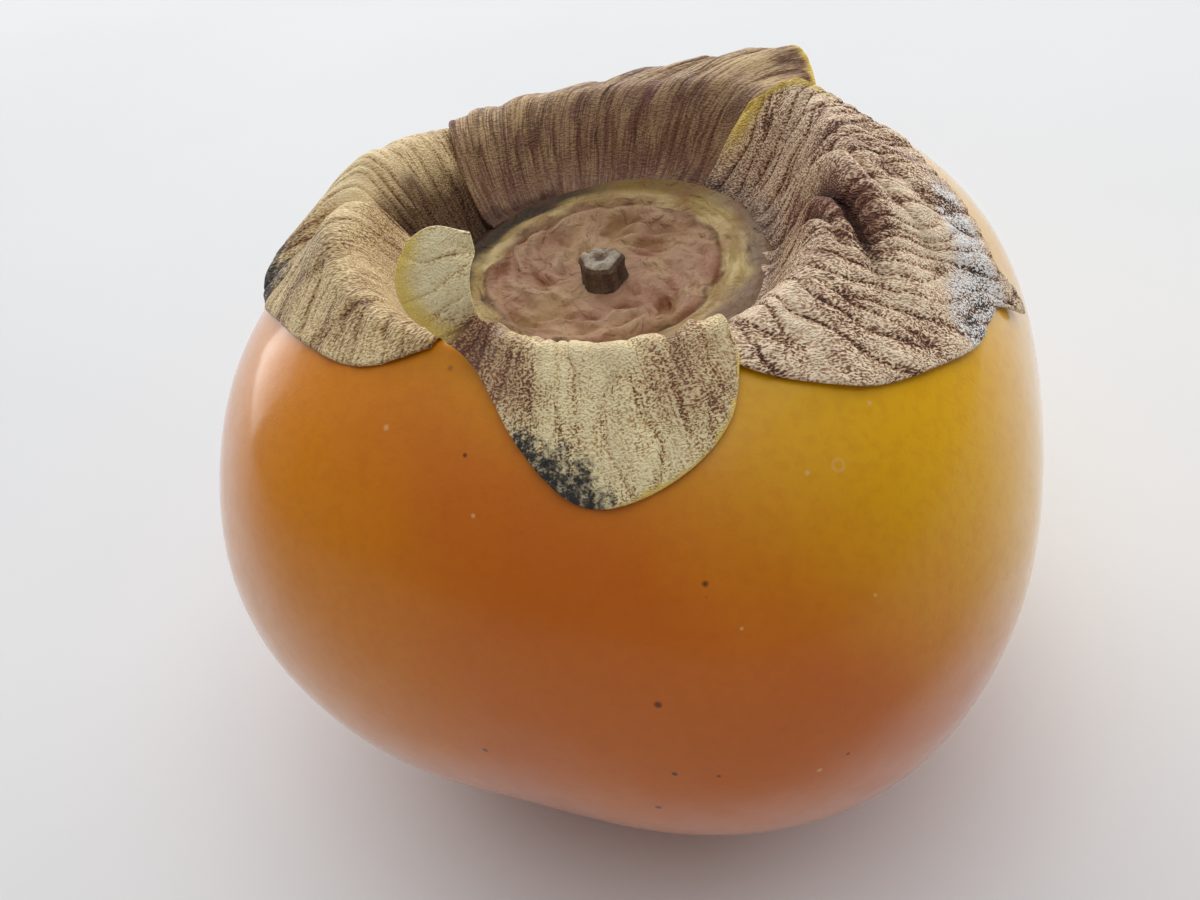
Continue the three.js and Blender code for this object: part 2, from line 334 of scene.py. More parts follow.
class NodeSketch:
    """A short way to place and link the nodes of one tree."""

    def __init__(self, tree: bpy.types.NodeTree) -> None:
        """Keep the tree to draw in."""
        self.tree = tree

    def feed(self, node: bpy.types.Node, inputs: dict) -> bpy.types.Node:
        """Link sockets to a node's inputs, and set plain values on them.

        Args:
            node: The node to feed.
            inputs: Values or sockets, by the input's name or number.

        Returns:
            The same node.
        """
        for name, value in inputs.items():
            if isinstance(value, Socket):
                self.tree.links.new(value, node.inputs[name])
            else:
                node.inputs[name].default_value = value
        return node

    def add(self, kind: str, inputs: dict | None = None, **settings: object) -> bpy.types.Node:
        """Place one node.

        Args:
            kind: The node type without its ShaderNode prefix.
            inputs: Values or sockets for its inputs, by name or number.
            settings: Values for the node's own properties.

        Returns:
            The new node.
        """
        node = self.tree.nodes.new(f"ShaderNode{kind}")
        for name, value in settings.items():
            setattr(node, name, value)
        return self.feed(node, inputs or {})

    def group(self, tree: bpy.types.NodeTree, **inputs: object) -> Socket:
        """Place a shared group with its inputs by name, and give its one output."""
        return self.add("Group", inputs, node_tree=tree).outputs[0]

    def mix(self, factor: object, first: object, second: object, blend: str = "MIX") -> Socket:
        """Mix two colours.

        Args:
            factor: Share of the second colour, a number or a socket.
            first: Colour or socket below.
            second: Colour or socket laid over it.
            blend: How the second is laid over the first.

        Returns:
            The mixed colour's socket.
        """
        sides = {6: opaque(first), 7: opaque(second)}
        return self.add("Mix", {0: factor, **sides}, data_type="RGBA", blend_type=blend).outputs[2]

    def over(self, below: object, above: object, mask: object, share: float) -> Socket:
        """Lay a colour over another by a share of a mask."""
        return self.mix(self.times(mask, share), below, above)

    def math(self, operation: str, first: object, second: object = 0.5) -> Socket:
        """One sum on one or two numbers."""
        return self.add("Math", {0: first, 1: second}, operation=operation).outputs[0]

    def times(self, first: object, second: object) -> Socket:
        """The product of two numbers."""
        return self.math("MULTIPLY", first, second)

    def plus(self, first: object, second: object) -> Socket:
        """The sum of two numbers."""
        return self.math("ADD", first, second)

    def less(self, first: object, second: object) -> Socket:
        """The first number less the second."""
        return self.math("SUBTRACT", first, second)

    def vector(self, operation: str, first: object, second: Triple = (0.0, 0.0, 0.0)) -> Socket:
        """One sum on vectors, which gives a number for a length, a distance or a dot product."""
        node = self.add("VectorMath", {0: first, 1: second}, operation=operation)
        return node.outputs["Value" if operation in ("LENGTH", "DISTANCE", "DOT_PRODUCT") else "Vector"]

    def scaled(self, vector: Socket, factor: float) -> Socket:
        """A vector times a number."""
        return self.add("VectorMath", {0: vector, "Scale": factor}, operation="SCALE").outputs[0]

    def axis(self, vector: Socket, label: str) -> Socket:
        """One coordinate of a vector."""
        return self.add("SeparateXYZ", {0: vector}).outputs[label]

    def noise(self, place: Socket, output: str = "Fac", **inputs: object) -> Socket:
        """Plain noise at a place, with its other inputs by name."""
        return self.add("TexNoise", {"Vector": place, **inputs}).outputs[output]

    def grade(self, value: object, low: object, high: object, start: float = 0.0, end: float = 1.0) -> Socket:
        """Rise smoothly from start to end as the value goes from low to high."""
        inputs = {0: value, 1: low, 2: high, 3: start, 4: end}
        return self.add("MapRange", inputs, interpolation_type="SMOOTHSTEP").outputs[0]

    def between(self, share: Socket, span: Span) -> Socket:
        """A value from the start to the end of a span as a share goes from 0 to 1."""
        return self.grade(share, 0.0, 1.0, *span)

    def ramp(self, value: object, stops: tuple[tuple[float, Colour], ...]) -> Socket:
        """Colour that runs through the given stops as the value rises.

        Args:
            value: The value, a number or a socket.
            stops: Places from 0 to 1 with their colours, in order.

        Returns:
            The colour's socket.
        """
        node = self.add("ValToRGB", {0: value})
        elements = node.color_ramp.elements
        for spare in range(len(stops) - len(elements)):
            elements.new(0.5 + 0.01 * spare)
        for element, (place, colour) in zip(elements, stops):
            element.position = place
            element.color = opaque(colour)
        return node.outputs["Color"]

    def near(self, place: Socket, centre: Triple, radius: float) -> Socket:
        """A soft round mark: one inside 0.45 of its radius, nought beyond it, in millimetres."""
        way = self.vector("DISTANCE", place, tuple(MM * value for value in centre))
        return self.grade(way, radius * MM, 0.45 * radius * MM)

    def bump(self, height: Socket, strength: float, depth: float) -> Socket:
        """Normal of a relief of the given depth, in millimetres."""
        return self.add("Bump", {"Height": height, "Strength": strength, "Distance": depth * MM}).outputs[0]

    def painted(self, label: Paint, output: str = "Fac") -> Socket:
        """Read one of the surface's painted values."""
        return self.add("Attribute", attribute_name=label.value).outputs[output]

    def place(self) -> Socket:
        """Object coordinates, in metres."""
        return self.add("TexCoord").outputs["Object"]


def opaque(colour: object) -> object:
    """Add full alpha to a plain colour, and leave a socket as it is."""
    return (*colour, 1.0) if isinstance(colour, tuple) else colour


class SharedEffects:
    """Node groups that more than one finish uses, each built once."""

    def __init__(self) -> None:
        """Build the groups."""
        self.mottle = self._mottle()
        self.specks = self._specks()
        self.crinkle = self._crinkle()
        self.crepe = self._crepe()

    @staticmethod
    def _open(name: str, **inputs: float) -> tuple[NodeSketch, bpy.types.NodeOutputs]:
        """Start a group with a vector input and number inputs.

        Args:
            name: The group's name.
            inputs: Number inputs with their usual values.

        Returns:
            The sketch to draw in, and the group's inputs by name.
        """
        tree = bpy.data.node_groups.new(name, "ShaderNodeTree")
        tree.interface.new_socket("Place", in_out="INPUT", socket_type="NodeSocketVector")
        for label, value in inputs.items():
            socket = tree.interface.new_socket(label, in_out="INPUT", socket_type="NodeSocketFloat")
            socket.default_value = value
        return NodeSketch(tree), tree.nodes.new("NodeGroupInput").outputs

    @staticmethod
    def _close(sketch: NodeSketch, label: str, value: Socket) -> bpy.types.NodeTree:
        """Finish a group: put one number out under its name.

        Args:
            sketch: The sketch that was drawn in.
            label: Name of the output.
            value: What it puts out.

        Returns:
            The group.
        """
        sketch.tree.interface.new_socket(label, in_out="OUTPUT", socket_type="NodeSocketFloat")
        sketch.feed(sketch.tree.nodes.new("NodeGroupOutput"), {label: value})
        return sketch.tree

    def _mottle(self) -> bpy.types.NodeTree:
        """Soft cloudy patches: noise with its middle range stretched from 0 to 1.

        Returns:
            The group.
        """
        sketch, given = self._open("Soft mottle", Scale=100.0, Low=0.35, High=0.65)
        noise = sketch.noise(given["Place"], Scale=given["Scale"], Detail=4.0)
        return self._close(sketch, "Patch", sketch.grade(noise, given["Low"], given["High"]))

    def _specks(self) -> bpy.types.NodeTree:
        """Sparse round specks: cells of which a drawn share hold a dot of the given size.

        Returns:
            The group.
        """
        sketch, given = self._open("Sparse specks", Scale=200.0, Size=0.2, Share=0.2)
        cells = sketch.add("TexVoronoi", {"Vector": given["Place"], "Scale": given["Scale"]})
        draw = sketch.add("SeparateColor", {0: cells.outputs["Color"]})
        held = sketch.math("LESS_THAN", draw.outputs[0], given["Share"])
        size = sketch.times(given["Size"], sketch.plus(draw.outputs[1], 0.3))
        dot = sketch.grade(sketch.math("DIVIDE", cells.outputs["Distance"], size), 1.0, 0.6)
        return self._close(sketch, "Speck", sketch.times(held, dot))

    def _crinkle(self) -> bpy.types.NodeTree:
        """Fine crumpled relief: wavy noise folded at its middle, with a finer grain added.

        Returns:
            The group.
        """
        sketch, given = self._open("Fine crinkle", Scale=1.0, Grain=0.3)
        noise = sketch.noise(given["Place"], Scale=given["Scale"], Detail=3.0, Distortion=0.6)
        crease = sketch.grade(sketch.math("ABSOLUTE", sketch.less(noise, 0.5)), 0.0, 0.22)
        grain = sketch.noise(given["Place"], Scale=sketch.times(given["Scale"], 5.0), Detail=2.0)
        return self._close(sketch, "Height", sketch.plus(crease, sketch.times(grain, given["Grain"])))

    def _crepe(self) -> bpy.types.NodeTree:
        """Crepe of a dried leaf: fine crests that run along the part's X axis.

        The place in millimetres, strayed by slower noise, is divided by the crests' length along X and
        by their spacing along Y and Z. The crests are noise at that place with its middle range stretched
        from 0 to 1, so that they and the furrows between them are about as wide.

        Returns:
            The group.
        """
        sketch, given = self._open("Leaf crepe", Spacing=0.3, Length=0.8)
        place = sketch.scaled(given["Place"], 1.0 / MM)
        drift = sketch.noise(place, "Color", Scale=0.45, Detail=1.0)
        stray = sketch.scaled(sketch.vector("SUBTRACT", drift, (0.5, 0.5, 0.5)), 0.8)
        moved = sketch.vector("ADD", place, stray)
        sizes = {"X": given["Length"], "Y": given["Spacing"], "Z": given["Spacing"]}
        shares = {axis: sketch.math("DIVIDE", sketch.axis(moved, axis), size) for axis, size in sizes.items()}
        drawn = sketch.add("CombineXYZ", shares).outputs[0]
        wave = sketch.noise(drawn, Scale=1.0, Detail=1.0, Roughness=0.4)
        return self._close(sketch, "Height", sketch.grade(wave, 0.30, 0.68))


def new_material(name: str) -> tuple[bpy.types.Material, NodeSketch, bpy.types.Node]:
    """A material with its Principled shader ready to link.

    Args:
        name: The material's name.

    Returns:
        The material, a sketch of its tree, and the Principled node.
    """
    material = bpy.data.materials.new(name)
    material.use_nodes = True
    sketch = NodeSketch(material.node_tree)
    return material, sketch, material.node_tree.nodes["Principled BSDF"]


# Finishes


class MarkKind(Enum):
    """What a small mark on the skin is."""

    DARK = "dark"
    PALE = "pale"
    LOOP = "loop"


# Middle and radius of every small mark on the skin, in millimetres
SKIN_MARKS = {
    MarkKind.DARK: (
        (-12.7, -17.2, 56.2, 0.5), (1.5, -33.7, 46.5, 0.36), (1.4, -34.2, 45.7, 0.22),
        (-3.2, -36.2, 38.2, 0.4), (-12.7, -22.6, 52.4, 0.22), (3.4, -38.3, 34.2, 0.22),
        (-4.8, -36.3, 25.7, 0.35), (-3.1, -37.2, 30.9, 0.3), (0.0, -38.0, 30.8, 0.25),
        (-11.1, -32.3, 40.4, 0.22), (-17.0, -30.8, 29.6, 0.3), (9.4, -38.4, 30.6, 0.22),
    ),
    MarkKind.PALE: (
        (9.7, -29.7, 50.7, 0.22), (15.2, -25.6, 51.9, 0.22), (-18.1, -18.5, 53.0, 0.3),
        (-13.0, -25.7, 49.5, 0.22), (12.7, -34.8, 43.0, 0.2), (3.3, -35.6, 43.5, 0.2),
        (7.2, -38.6, 29.7, 0.3),
    ),
    MarkKind.LOOP: ((11.9, -29.3, 50.4, 0.62),),
}


@dataclass(frozen=True)
class FruitSkinFinish:
    """Waxy amber skin, golden on the right shoulder, with specks and a few pale scratches.

    Attributes:
        amber: Colour of the front cheek.
        gold: Colour of the right shoulder.
        ember: Redder tint that clouds the amber.
        speck: Colour of the dark specks.
        scar: Colour of the pale scratches.
        honey: Colour of the left cheek.
        gold_way: Direction in which the skin turns golden.
        gold_span: Where along it that starts and is done, in metres.
        honey_way: Direction in which it turns to honey.
        honey_span: Where along it that starts and is done, in metres.
        stray: How far the clouds move those turns, in metres.
        roughness: Least and most roughness.
        coat: Wax where the skin is seen square on, and where it is seen aslant.
        coat_turn: How far aslant the wax starts to show, and is full.
        dull_span: Heights between which the wax comes up to full, in metres.
    """

    amber: Colour = (0.68, 0.178, 0.012)
    gold: Colour = (0.78, 0.41, 0.006)
    ember: Colour = (0.52, 0.100, 0.010)
    speck: Colour = (0.06, 0.022, 0.014)
    scar: Colour = (0.80, 0.50, 0.22)
    honey: Colour = (0.80, 0.28, 0.010)
    gold_way: Triple = (0.62, 0.45, 0.64)
    gold_span: Span = (0.0115, 0.0325)
    honey_way: Triple = (-0.95, -0.10, 0.25)
    honey_span: Span = (0.023, 0.046)
    stray: float = 0.001
    roughness: Span = (0.34, 0.44)
    coat: Span = (0.15, 0.95)
    coat_turn: Span = (0.42, 0.68)
    dull_span: Span = (0.0, 0.024)

    def material(self, effects: SharedEffects) -> bpy.types.Material:
        """Build the skin's material.

        Args:
            effects: The shared node groups.

        Returns:
            The finished material.
        """
        material, sketch, skin = new_material("Fruit skin")
        place = sketch.place()
        cloud = sketch.group(effects.mottle, Place=place, Scale=45.0, Low=0.35, High=0.7)
        stray = sketch.between(cloud, (self.stray, -self.stray))
        flesh = sketch.over(self.amber, self.ember, cloud, 0.4)
        turns = ((self.gold_way, self.gold_span, self.gold), (self.honey_way, self.honey_span, self.honey))
        for way, span, colour in turns:
            reach = sketch.plus(sketch.vector("DOT_PRODUCT", place, way), stray)
            flesh = sketch.mix(sketch.grade(reach, *span), flesh, colour)
        pores = sketch.group(effects.mottle, Place=place, Scale=1100.0, Low=0.4, High=0.7)
        flesh = sketch.over(flesh, self.ember, pores, 0.14)
        aside = {"Vector": place, "Rotation": (0.3, 0.9, 0.5), "Scale": (1.0, 0.12, 0.4)}
        drawn = sketch.add("Mapping", aside).outputs[0]
        scratches = sketch.group(effects.specks, Place=drawn, Scale=420.0, Size=0.07, Share=0.04)
        flesh = sketch.over(flesh, self.scar, scratches, 0.4)
        matt = sketch.group(effects.mottle, Place=place, Scale=300.0, Low=0.3, High=0.7)
        grain = sketch.group(effects.crinkle, Place=place, Scale=1500.0, Grain=0.4)
        aslant = sketch.add("LayerWeight", {"Blend": 0.5}).outputs["Facing"]
        wax = sketch.grade(aslant, *self.coat_turn, *self.coat)
        dulled = sketch.grade(sketch.axis(place, "Z"), *self.dull_span, 0.25, 1.0)
        sketch.feed(skin, {
            "Base Color": self._marked(sketch, place, flesh),
            "Roughness": sketch.between(matt, self.roughness),
            "Normal": sketch.bump(grain, 0.10, 0.1),
            "Subsurface Weight": 0.12,
            "Subsurface Radius": (1.0, 0.35, 0.08),
            "Subsurface Scale": 0.003,
            "Specular IOR Level": 0.22,
            "Coat Weight": sketch.times(wax, dulled),
            "Coat Roughness": 0.12,
        })
        return material

    def _marked(self, sketch: NodeSketch, place: Socket, flesh: Socket) -> Socket:
        """Lay the single marks over the flesh.

        A dot is a soft round mark; a loop is a wide mark less a narrower one.

        Args:
            sketch: The tree to draw in.
            place: Object coordinates.
            flesh: Colour so far.

        Returns:
            The marked colour's socket.
        """
        for kind, marks in SKIN_MARKS.items():
            cover = 0.0
            for *centre, radius in marks:
                dot = sketch.near(place, centre, radius)
                if kind is MarkKind.LOOP:
                    dot = sketch.less(dot, sketch.near(place, centre, 0.75 * radius))
                cover = sketch.math("MAXIMUM", dot, cover)
            colour, share = (self.speck, 0.8) if kind is MarkKind.DARK else (self.scar, 0.6)
            flesh = sketch.over(flesh, colour, cover, share)
        return flesh


@dataclass(frozen=True)
class SepalFinish:
    """Dry papery leaf: khaki with mauve shading, dark grooves, olive rims and charcoal tips.

    Attributes:
        name: The material's name.
        pale: Colour of the highest crests, partly painted highlight.
        khaki: Colour of the blade.
        brown: Colour of the furrows, partly painted shade.
        groove: Colour of the deepest creases, partly painted shade.
        stops: Tones of groove, brown, khaki and pale.
        mauve: Mauve near the disc, the leaf's own colour, and in the folds, painted shade.
        mauving: How far that mauve shows.
        olive: Colour of a turned-up rim.
        charcoal: Colour of the dead tips.
        lint: Grey bloom close to the disc.
        linting: How far that bloom shows.
        painted_sheen: Painted sheen on the crests round a dead tip.
        painted_sheen_share: How far that painted sheen shows.
        painted_shade: Painted shade: what is left of the colour deep in a hollow.
        crepe_spacing: Way between the crests of the crepe, in millimetres.
        crepe_length: Length of a crest.
        vein_share: How far the veins change the tone.
        crepe_share: How far the crepe changes it.
        crepe_depth: Depth of the crepe.
        streak_share: How far the fine streaks along the veins change the tone.
        lightness: How far the whole tone is lifted.
        patching: How far soft patches lower and lift the tone.
        crest_span: Tones between which a crest comes up to full.
        dead_span: Char between which the charcoal comes up to full, on a tip with no silver.
        fleck_share: How far small flecks break the charcoal up.
        roughness: Least and most roughness.
    """

    name: str
    pale: Colour = (1.0, 0.85, 0.51)
    khaki: Colour = (0.80, 0.58, 0.27)
    brown: Colour = (0.42, 0.215, 0.100)
    groove: Colour = (0.095, 0.040, 0.022)
    stops: tuple[float, float, float, float] = (0.06, 0.30, 0.54, 0.86)
    mauve: Colour = (0.31, 0.125, 0.085)
    mauving: float = 0.8
    olive: Colour = (0.98, 0.71, 0.18)
    charcoal: Colour = (0.040, 0.034, 0.032)
    lint: Colour = (0.34, 0.31, 0.29)
    linting: float = 0.4
    painted_sheen: Colour = (0.92, 0.91, 0.90)
    painted_sheen_share: float = 0.0
    painted_shade: Colour = (0.20, 0.145, 0.13)
    crepe_spacing: float = 0.15
    crepe_length: float = 0.19
    vein_share: float = 0.32
    crepe_share: float = 0.72
    crepe_depth: float = 0.08
    streak_share: float = 0.28
    lightness: float = 0.15
    patching: Span = (-0.06, 0.10)
    crest_span: Span = (0.4, 0.75)
    dead_span: Span = (0.42, 0.82)
    fleck_share: float = 0.25
    roughness: Span = (0.40, 0.55)

    def material(self, effects: SharedEffects) -> bpy.types.Material:
        """Build the leaf's material.

        Args:
            effects: The shared node groups.

        Returns:
            The finished material.
        """
        material, sketch, leaf = new_material(self.name)
        grain = sketch.painted(Paint.GRAIN, "Vector")
        sizes = {"Spacing": self.crepe_spacing, "Length": self.crepe_length}
        crepe = sketch.group(effects.crepe, Place=sketch.place(), **sizes)
        streak = sketch.group(effects.crepe, Place=sketch.scaled(grain, MM), Spacing=4.0, Length=0.22)
        patches = sketch.group(effects.mottle, Place=grain, Scale=0.22, Low=0.35, High=0.65)
        tone = self._tone(sketch, crepe, streak, patches)
        # The tone follows the crepe and the veins: crests lighter, creases darker, partly the leaf's own
        # colour and partly painted highlight and shade.
        body = sketch.ramp(tone, tuple(zip(self.stops, (self.groove, self.brown, self.khaki, self.pale))))
        # Mauve: the leaf's own colour near the disc, and painted shade where the patches are darker.
        shaded = sketch.mix(0.35, self.mauve, body)
        body = sketch.over(body, shaded, sketch.painted(Paint.MAUVE), self.mauving)
        body = sketch.mix(sketch.painted(Paint.RIM), body, self.olive)
        flecks = sketch.group(effects.mottle, Place=grain, Scale=1.8, Low=0.3, High=0.7)
        body = self._charred(sketch, body, tone, flecks)
        fluff = sketch.group(effects.mottle, Place=grain, Scale=1.3, Low=0.4, High=0.6)
        body = sketch.over(body, self.lint, sketch.times(sketch.painted(Paint.LINT), fluff), self.linting)
        # Painted shade: the colour is darkened in the folds' hollows and at the sepals' shaded feet.
        painted_shade = sketch.mix(sketch.painted(Paint.PAINTED_SHADE), (1.0, 1.0, 1.0), self.painted_shade)
        sketch.feed(leaf, {
            "Base Color": sketch.mix(1.0, body, painted_shade, "MULTIPLY"),
            "Roughness": sketch.between(patches, self.roughness),
            "Normal": sketch.bump(crepe, 1.0, self.crepe_depth),
            "Specular IOR Level": 0.3,
        })
        return material

    def _tone(self, sketch: NodeSketch, crepe: Socket, streak: Socket, patches: Socket) -> Socket:
        """Tone of the blade: shares of veins, crepe and streaks about a level, and the patches of painted
        light and shade.

        Args:
            sketch: The tree to draw in.
            crepe: Crests of the crepe.
            streak: Streaks along the veins.
            patches: Soft patches that stray the level.

        Returns:
            The tone's socket, from 0 for a groove to 1 for a pale crest.
        """
        tone = sketch.times(sketch.painted(Paint.RIDGE), self.vein_share)
        tone = sketch.plus(tone, sketch.times(crepe, self.crepe_share))
        tone = sketch.plus(tone, sketch.times(streak, self.streak_share))
        level = 0.5 + self.lightness - 0.5 * (self.vein_share + self.crepe_share + self.streak_share)
        low, high = self.patching
        tone = sketch.plus(tone, sketch.between(patches, (level + low, level + high)))
        return sketch.plus(tone, sketch.painted(Paint.PAINTED_LIGHT))

    def _charred(self, sketch: NodeSketch, body: Socket, tone: Socket, flecks: Socket) -> Socket:
        """Lay a painted sheen on the crests and then charcoal over the dead tips, less charcoal on crests and
        flecks.

        The more painted sheen a tip has, the deader a place has to be for the charcoal to show.

        Args:
            sketch: The tree to draw in.
            body: Colour so far.
            tone: The blade's tone, high on its crests.
            flecks: Small patches that break the charcoal up.

        Returns:
            The charred colour's socket.
        """
        char = sketch.painted(Paint.CHAR)
        crest = sketch.grade(tone, *self.crest_span)
        # Painted sheen: a pale highlight laid on the crests round a dead tip.
        bloom = sketch.times(sketch.grade(char, 0.0, 0.5), crest)
        body = sketch.over(body, self.painted_sheen, bloom, self.painted_sheen_share)
        # Flecks and crests keep less charcoal; on the crests the painted sheen shows through.
        char_left = sketch.less(char, sketch.times(flecks, self.fleck_share))
        char_left = sketch.less(char_left, sketch.times(crest, 0.10 + 0.30 * self.painted_sheen_share))
        low, high = self.dead_span
        dead = sketch.grade(char_left, low + 0.20 * self.painted_sheen_share, high + 0.10 * self.painted_sheen_share)
        return sketch.mix(dead, body, self.charcoal)


@dataclass(frozen=True)
class DiscFinish:
    """Leathery disc: mauve brown with red-brown patches, painted shade in its hollows and a painted highlight
    on its lumps inside its ring, olive and ochre outside it.

    Attributes:
        mauve: Colour of the centre.
        rust_and_shade: Red-brown patches, and painted shade in its hollows.
        lump_highlight: Painted highlight on the raised lumps.
        olive: Colour outside the ring.
        ochre: Deeper yellow streaks at the rim.
        ring: The dark line of the ring itself.
        husk: Dull edge that runs into the sepals' feet.
        painted_shade: Painted shade in the crevice under the far left sepals.
        painted_shade_way: Direction of that crevice.
        painted_shade_span: Radii between which that painted shade comes up to full, in metres.
        ring_radius: Radius of the ring's line, in metres.
        ring_width: Half the width of that line.
        turn_span: Where the inside's colour starts to turn and is done, from that radius.
        ochre_span: Radii between which the far rim turns ochre.
        husk_span: Radii between which the husk comes up to full.
        fray: How far the ring is frayed.
        frill: How far the husk is frayed.
        roughness: Least and most roughness.
    """

    mauve: Colour = (0.39, 0.218, 0.138)
    rust_and_shade: Colour = (0.21, 0.075, 0.030)
    lump_highlight: Colour = (0.47, 0.35, 0.215)
    olive: Colour = (0.58, 0.445, 0.210)
    ochre: Colour = (0.22, 0.13, 0.014)
    ring: Colour = (0.09, 0.045, 0.025)
    husk: Colour = (0.27, 0.19, 0.125)
    painted_shade: Colour = (0.055, 0.037, 0.024)
    painted_shade_way: Triple = (-0.64, 0.77, 0.0)
    painted_shade_span: Span = (0.0108, 0.0126)
    ring_radius: float = 0.0099
    ring_width: float = 0.0006
    turn_span: Span = (-0.0005, 0.0009)
    ochre_span: Span = (0.0112, 0.0128)
    husk_span: Span = (0.0117, 0.0131)
    fray: float = 0.0008
    frill: float = 0.0006
    roughness: Span = (0.55, 0.7)

    def material(self, effects: SharedEffects) -> bpy.types.Material:
        """Build the disc's material.

        Args:
            effects: The shared node groups.

        Returns:
            The finished material.
        """
        material, sketch, disc = new_material("Calyx disc")
        place = sketch.place()
        flat = sketch.vector("MULTIPLY", place, (1.0, 1.0, 0.0))
        radius = sketch.vector("LENGTH", flat)
        way = sketch.vector("NORMALIZE", flat)
        cloud = sketch.group(effects.mottle, Place=place, Scale=160.0, Low=0.42, High=0.66)
        ragged = sketch.noise(place, Scale=330.0, Detail=3.0)
        frayed = sketch.plus(radius, sketch.grade(ragged, 0.2, 0.8, -self.fray, self.fray))
        frill = sketch.plus(radius, sketch.grade(ragged, 0.3, 0.7, -self.frill, self.frill))
        lift = sketch.add("CombineXYZ", {2: sketch.times(radius, 900.0)}).outputs[0]
        hoops = sketch.vector("ADD", sketch.vector("MULTIPLY", way, (2.2, 2.2, 0.0)), lift)
        streaks = sketch.group(effects.mottle, Place=hoops, Scale=1.0, Low=0.38, High=0.62)
        outer = sketch.over(self.olive, self.ochre, streaks, 0.6)
        outer = sketch.over(outer, self.mauve, cloud, 0.4)
        far = sketch.grade(sketch.axis(way, "Y"), 0.2, 0.8)
        outer = sketch.mix(sketch.times(sketch.grade(radius, *self.ochre_span), far), outer, self.ochre)
        near = sketch.less(1.0, sketch.times(far, 0.6))
        outer = sketch.mix(sketch.times(sketch.grade(frill, *self.husk_span), near), outer, self.husk)
        beyond = sketch.grade(frayed, *(self.ring_radius + step for step in self.turn_span))
        body = sketch.mix(beyond, self._middle(sketch, cloud), outer)
        away = sketch.math("ABSOLUTE", sketch.less(frayed, self.ring_radius))
        line = sketch.times(sketch.grade(away, self.ring_width, 0.0), sketch.between(cloud, (0.3, 0.85)))
        body = sketch.mix(line, body, self.ring)
        # Painted shade in the crevice under the far left sepals.
        facing = sketch.grade(sketch.vector("DOT_PRODUCT", way, self.painted_shade_way), 0.55, 0.9)
        body = sketch.mix(sketch.times(facing, sketch.grade(frayed, *self.painted_shade_span)), body, self.painted_shade)
        grime = sketch.group(effects.mottle, Place=place, Scale=420.0, Low=0.45, High=0.75)
        wrinkle = sketch.group(effects.crinkle, Place=place, Scale=520.0, Grain=0.4)
        sketch.feed(disc, {
            "Base Color": sketch.over(body, self.rust_and_shade, grime, 0.5),
            "Roughness": sketch.between(cloud, self.roughness),
            "Normal": sketch.bump(wrinkle, 0.8, 0.25),
            "Specular IOR Level": 0.15,
        })
        return material

    def _middle(self, sketch: NodeSketch, cloud: Socket) -> Socket:
        """Colour inside the ring: darker red-brown in the hollows as painted shade, olive in the clouds and a
        painted highlight on the lumps.

        Args:
            sketch: The tree to draw in.
            cloud: Soft patches over the disc.

        Returns:
            The colour's socket.
        """
        ridge = sketch.painted(Paint.RIDGE)
        # Painted shade: darker red-brown in the relief's hollows.
        inner = sketch.mix(sketch.grade(ridge, 0.55, 0.15), self.mauve, self.rust_and_shade)
        inner = sketch.over(inner, self.olive, cloud, 0.35)
        # Painted highlight on the lumps.
        return sketch.over(inner, self.lump_highlight, sketch.grade(ridge, 0.6, 0.95), 0.25)


@dataclass(frozen=True)
class StemFinish:
    """Weathered stub: dark bark on its side, paler wood with a dark pith on its cut end.

    Attributes:
        bark: Colour of the side.
        wood: Colour of the cut end.
        lichen: Pale bloom on the cut end.
        pith: Colour of the centre.
        roughness: Least and most roughness.
    """

    bark: Colour = (0.075, 0.045, 0.03)
    wood: Colour = (0.27, 0.19, 0.125)
    lichen: Colour = (0.42, 0.36, 0.28)
    pith: Colour = (0.12, 0.07, 0.045)
    roughness: Span = (0.75, 0.9)

    def material(self, effects: SharedEffects) -> bpy.types.Material:
        """Build the stub's material.

        Args:
            effects: The shared node groups.

        Returns:
            The finished material.
        """
        material, sketch, stem = new_material("Stem stub")
        place = sketch.place()
        cloud = sketch.group(effects.mottle, Place=place, Scale=700.0, Low=0.4, High=0.6)
        end = sketch.mix(cloud, self.wood, self.lichen)
        end = sketch.mix(sketch.painted(Paint.CHAR), end, self.pith)
        streaked = sketch.add("Mapping", {"Vector": place, "Scale": (1.0, 1.0, 0.15)}).outputs[0]
        streaks = sketch.group(effects.mottle, Place=streaked, Scale=1500.0, Low=0.35, High=0.7)
        side = sketch.mix(streaks, self.bark, sketch.mix(0.35, self.bark, self.wood))
        wrinkle = sketch.group(effects.crinkle, Place=place, Scale=1400.0, Grain=0.5)
        sketch.feed(stem, {
            "Base Color": sketch.mix(sketch.grade(sketch.painted(Paint.RIDGE), 0.3, 0.7), side, end),
            "Roughness": sketch.between(cloud, self.roughness),
            "Normal": sketch.bump(wrinkle, 0.6, 0.2),
        })
        return material


@dataclass(frozen=True)
class FloorFinish:
    """Plain pale matt table, very slightly clouded."""

    pale: Colour = (0.80, 0.80, 0.80)
    shade: Colour = (0.76, 0.76, 0.77)
    roughness: float = 0.7

    def material(self, effects: SharedEffects) -> bpy.types.Material:
        """Build the floor's material.

        Args:
            effects: The shared node groups.

        Returns:
            The finished material.
        """
        material, sketch, floor = new_material("Pale table")
        cloud = sketch.group(effects.mottle, Place=sketch.place(), Scale=6.0, Low=0.3, High=0.7)
        table = sketch.mix(cloud, self.pale, self.shade)
        sketch.feed(floor, {"Base Color": table, "Roughness": self.roughness})
        return material


# Pieces


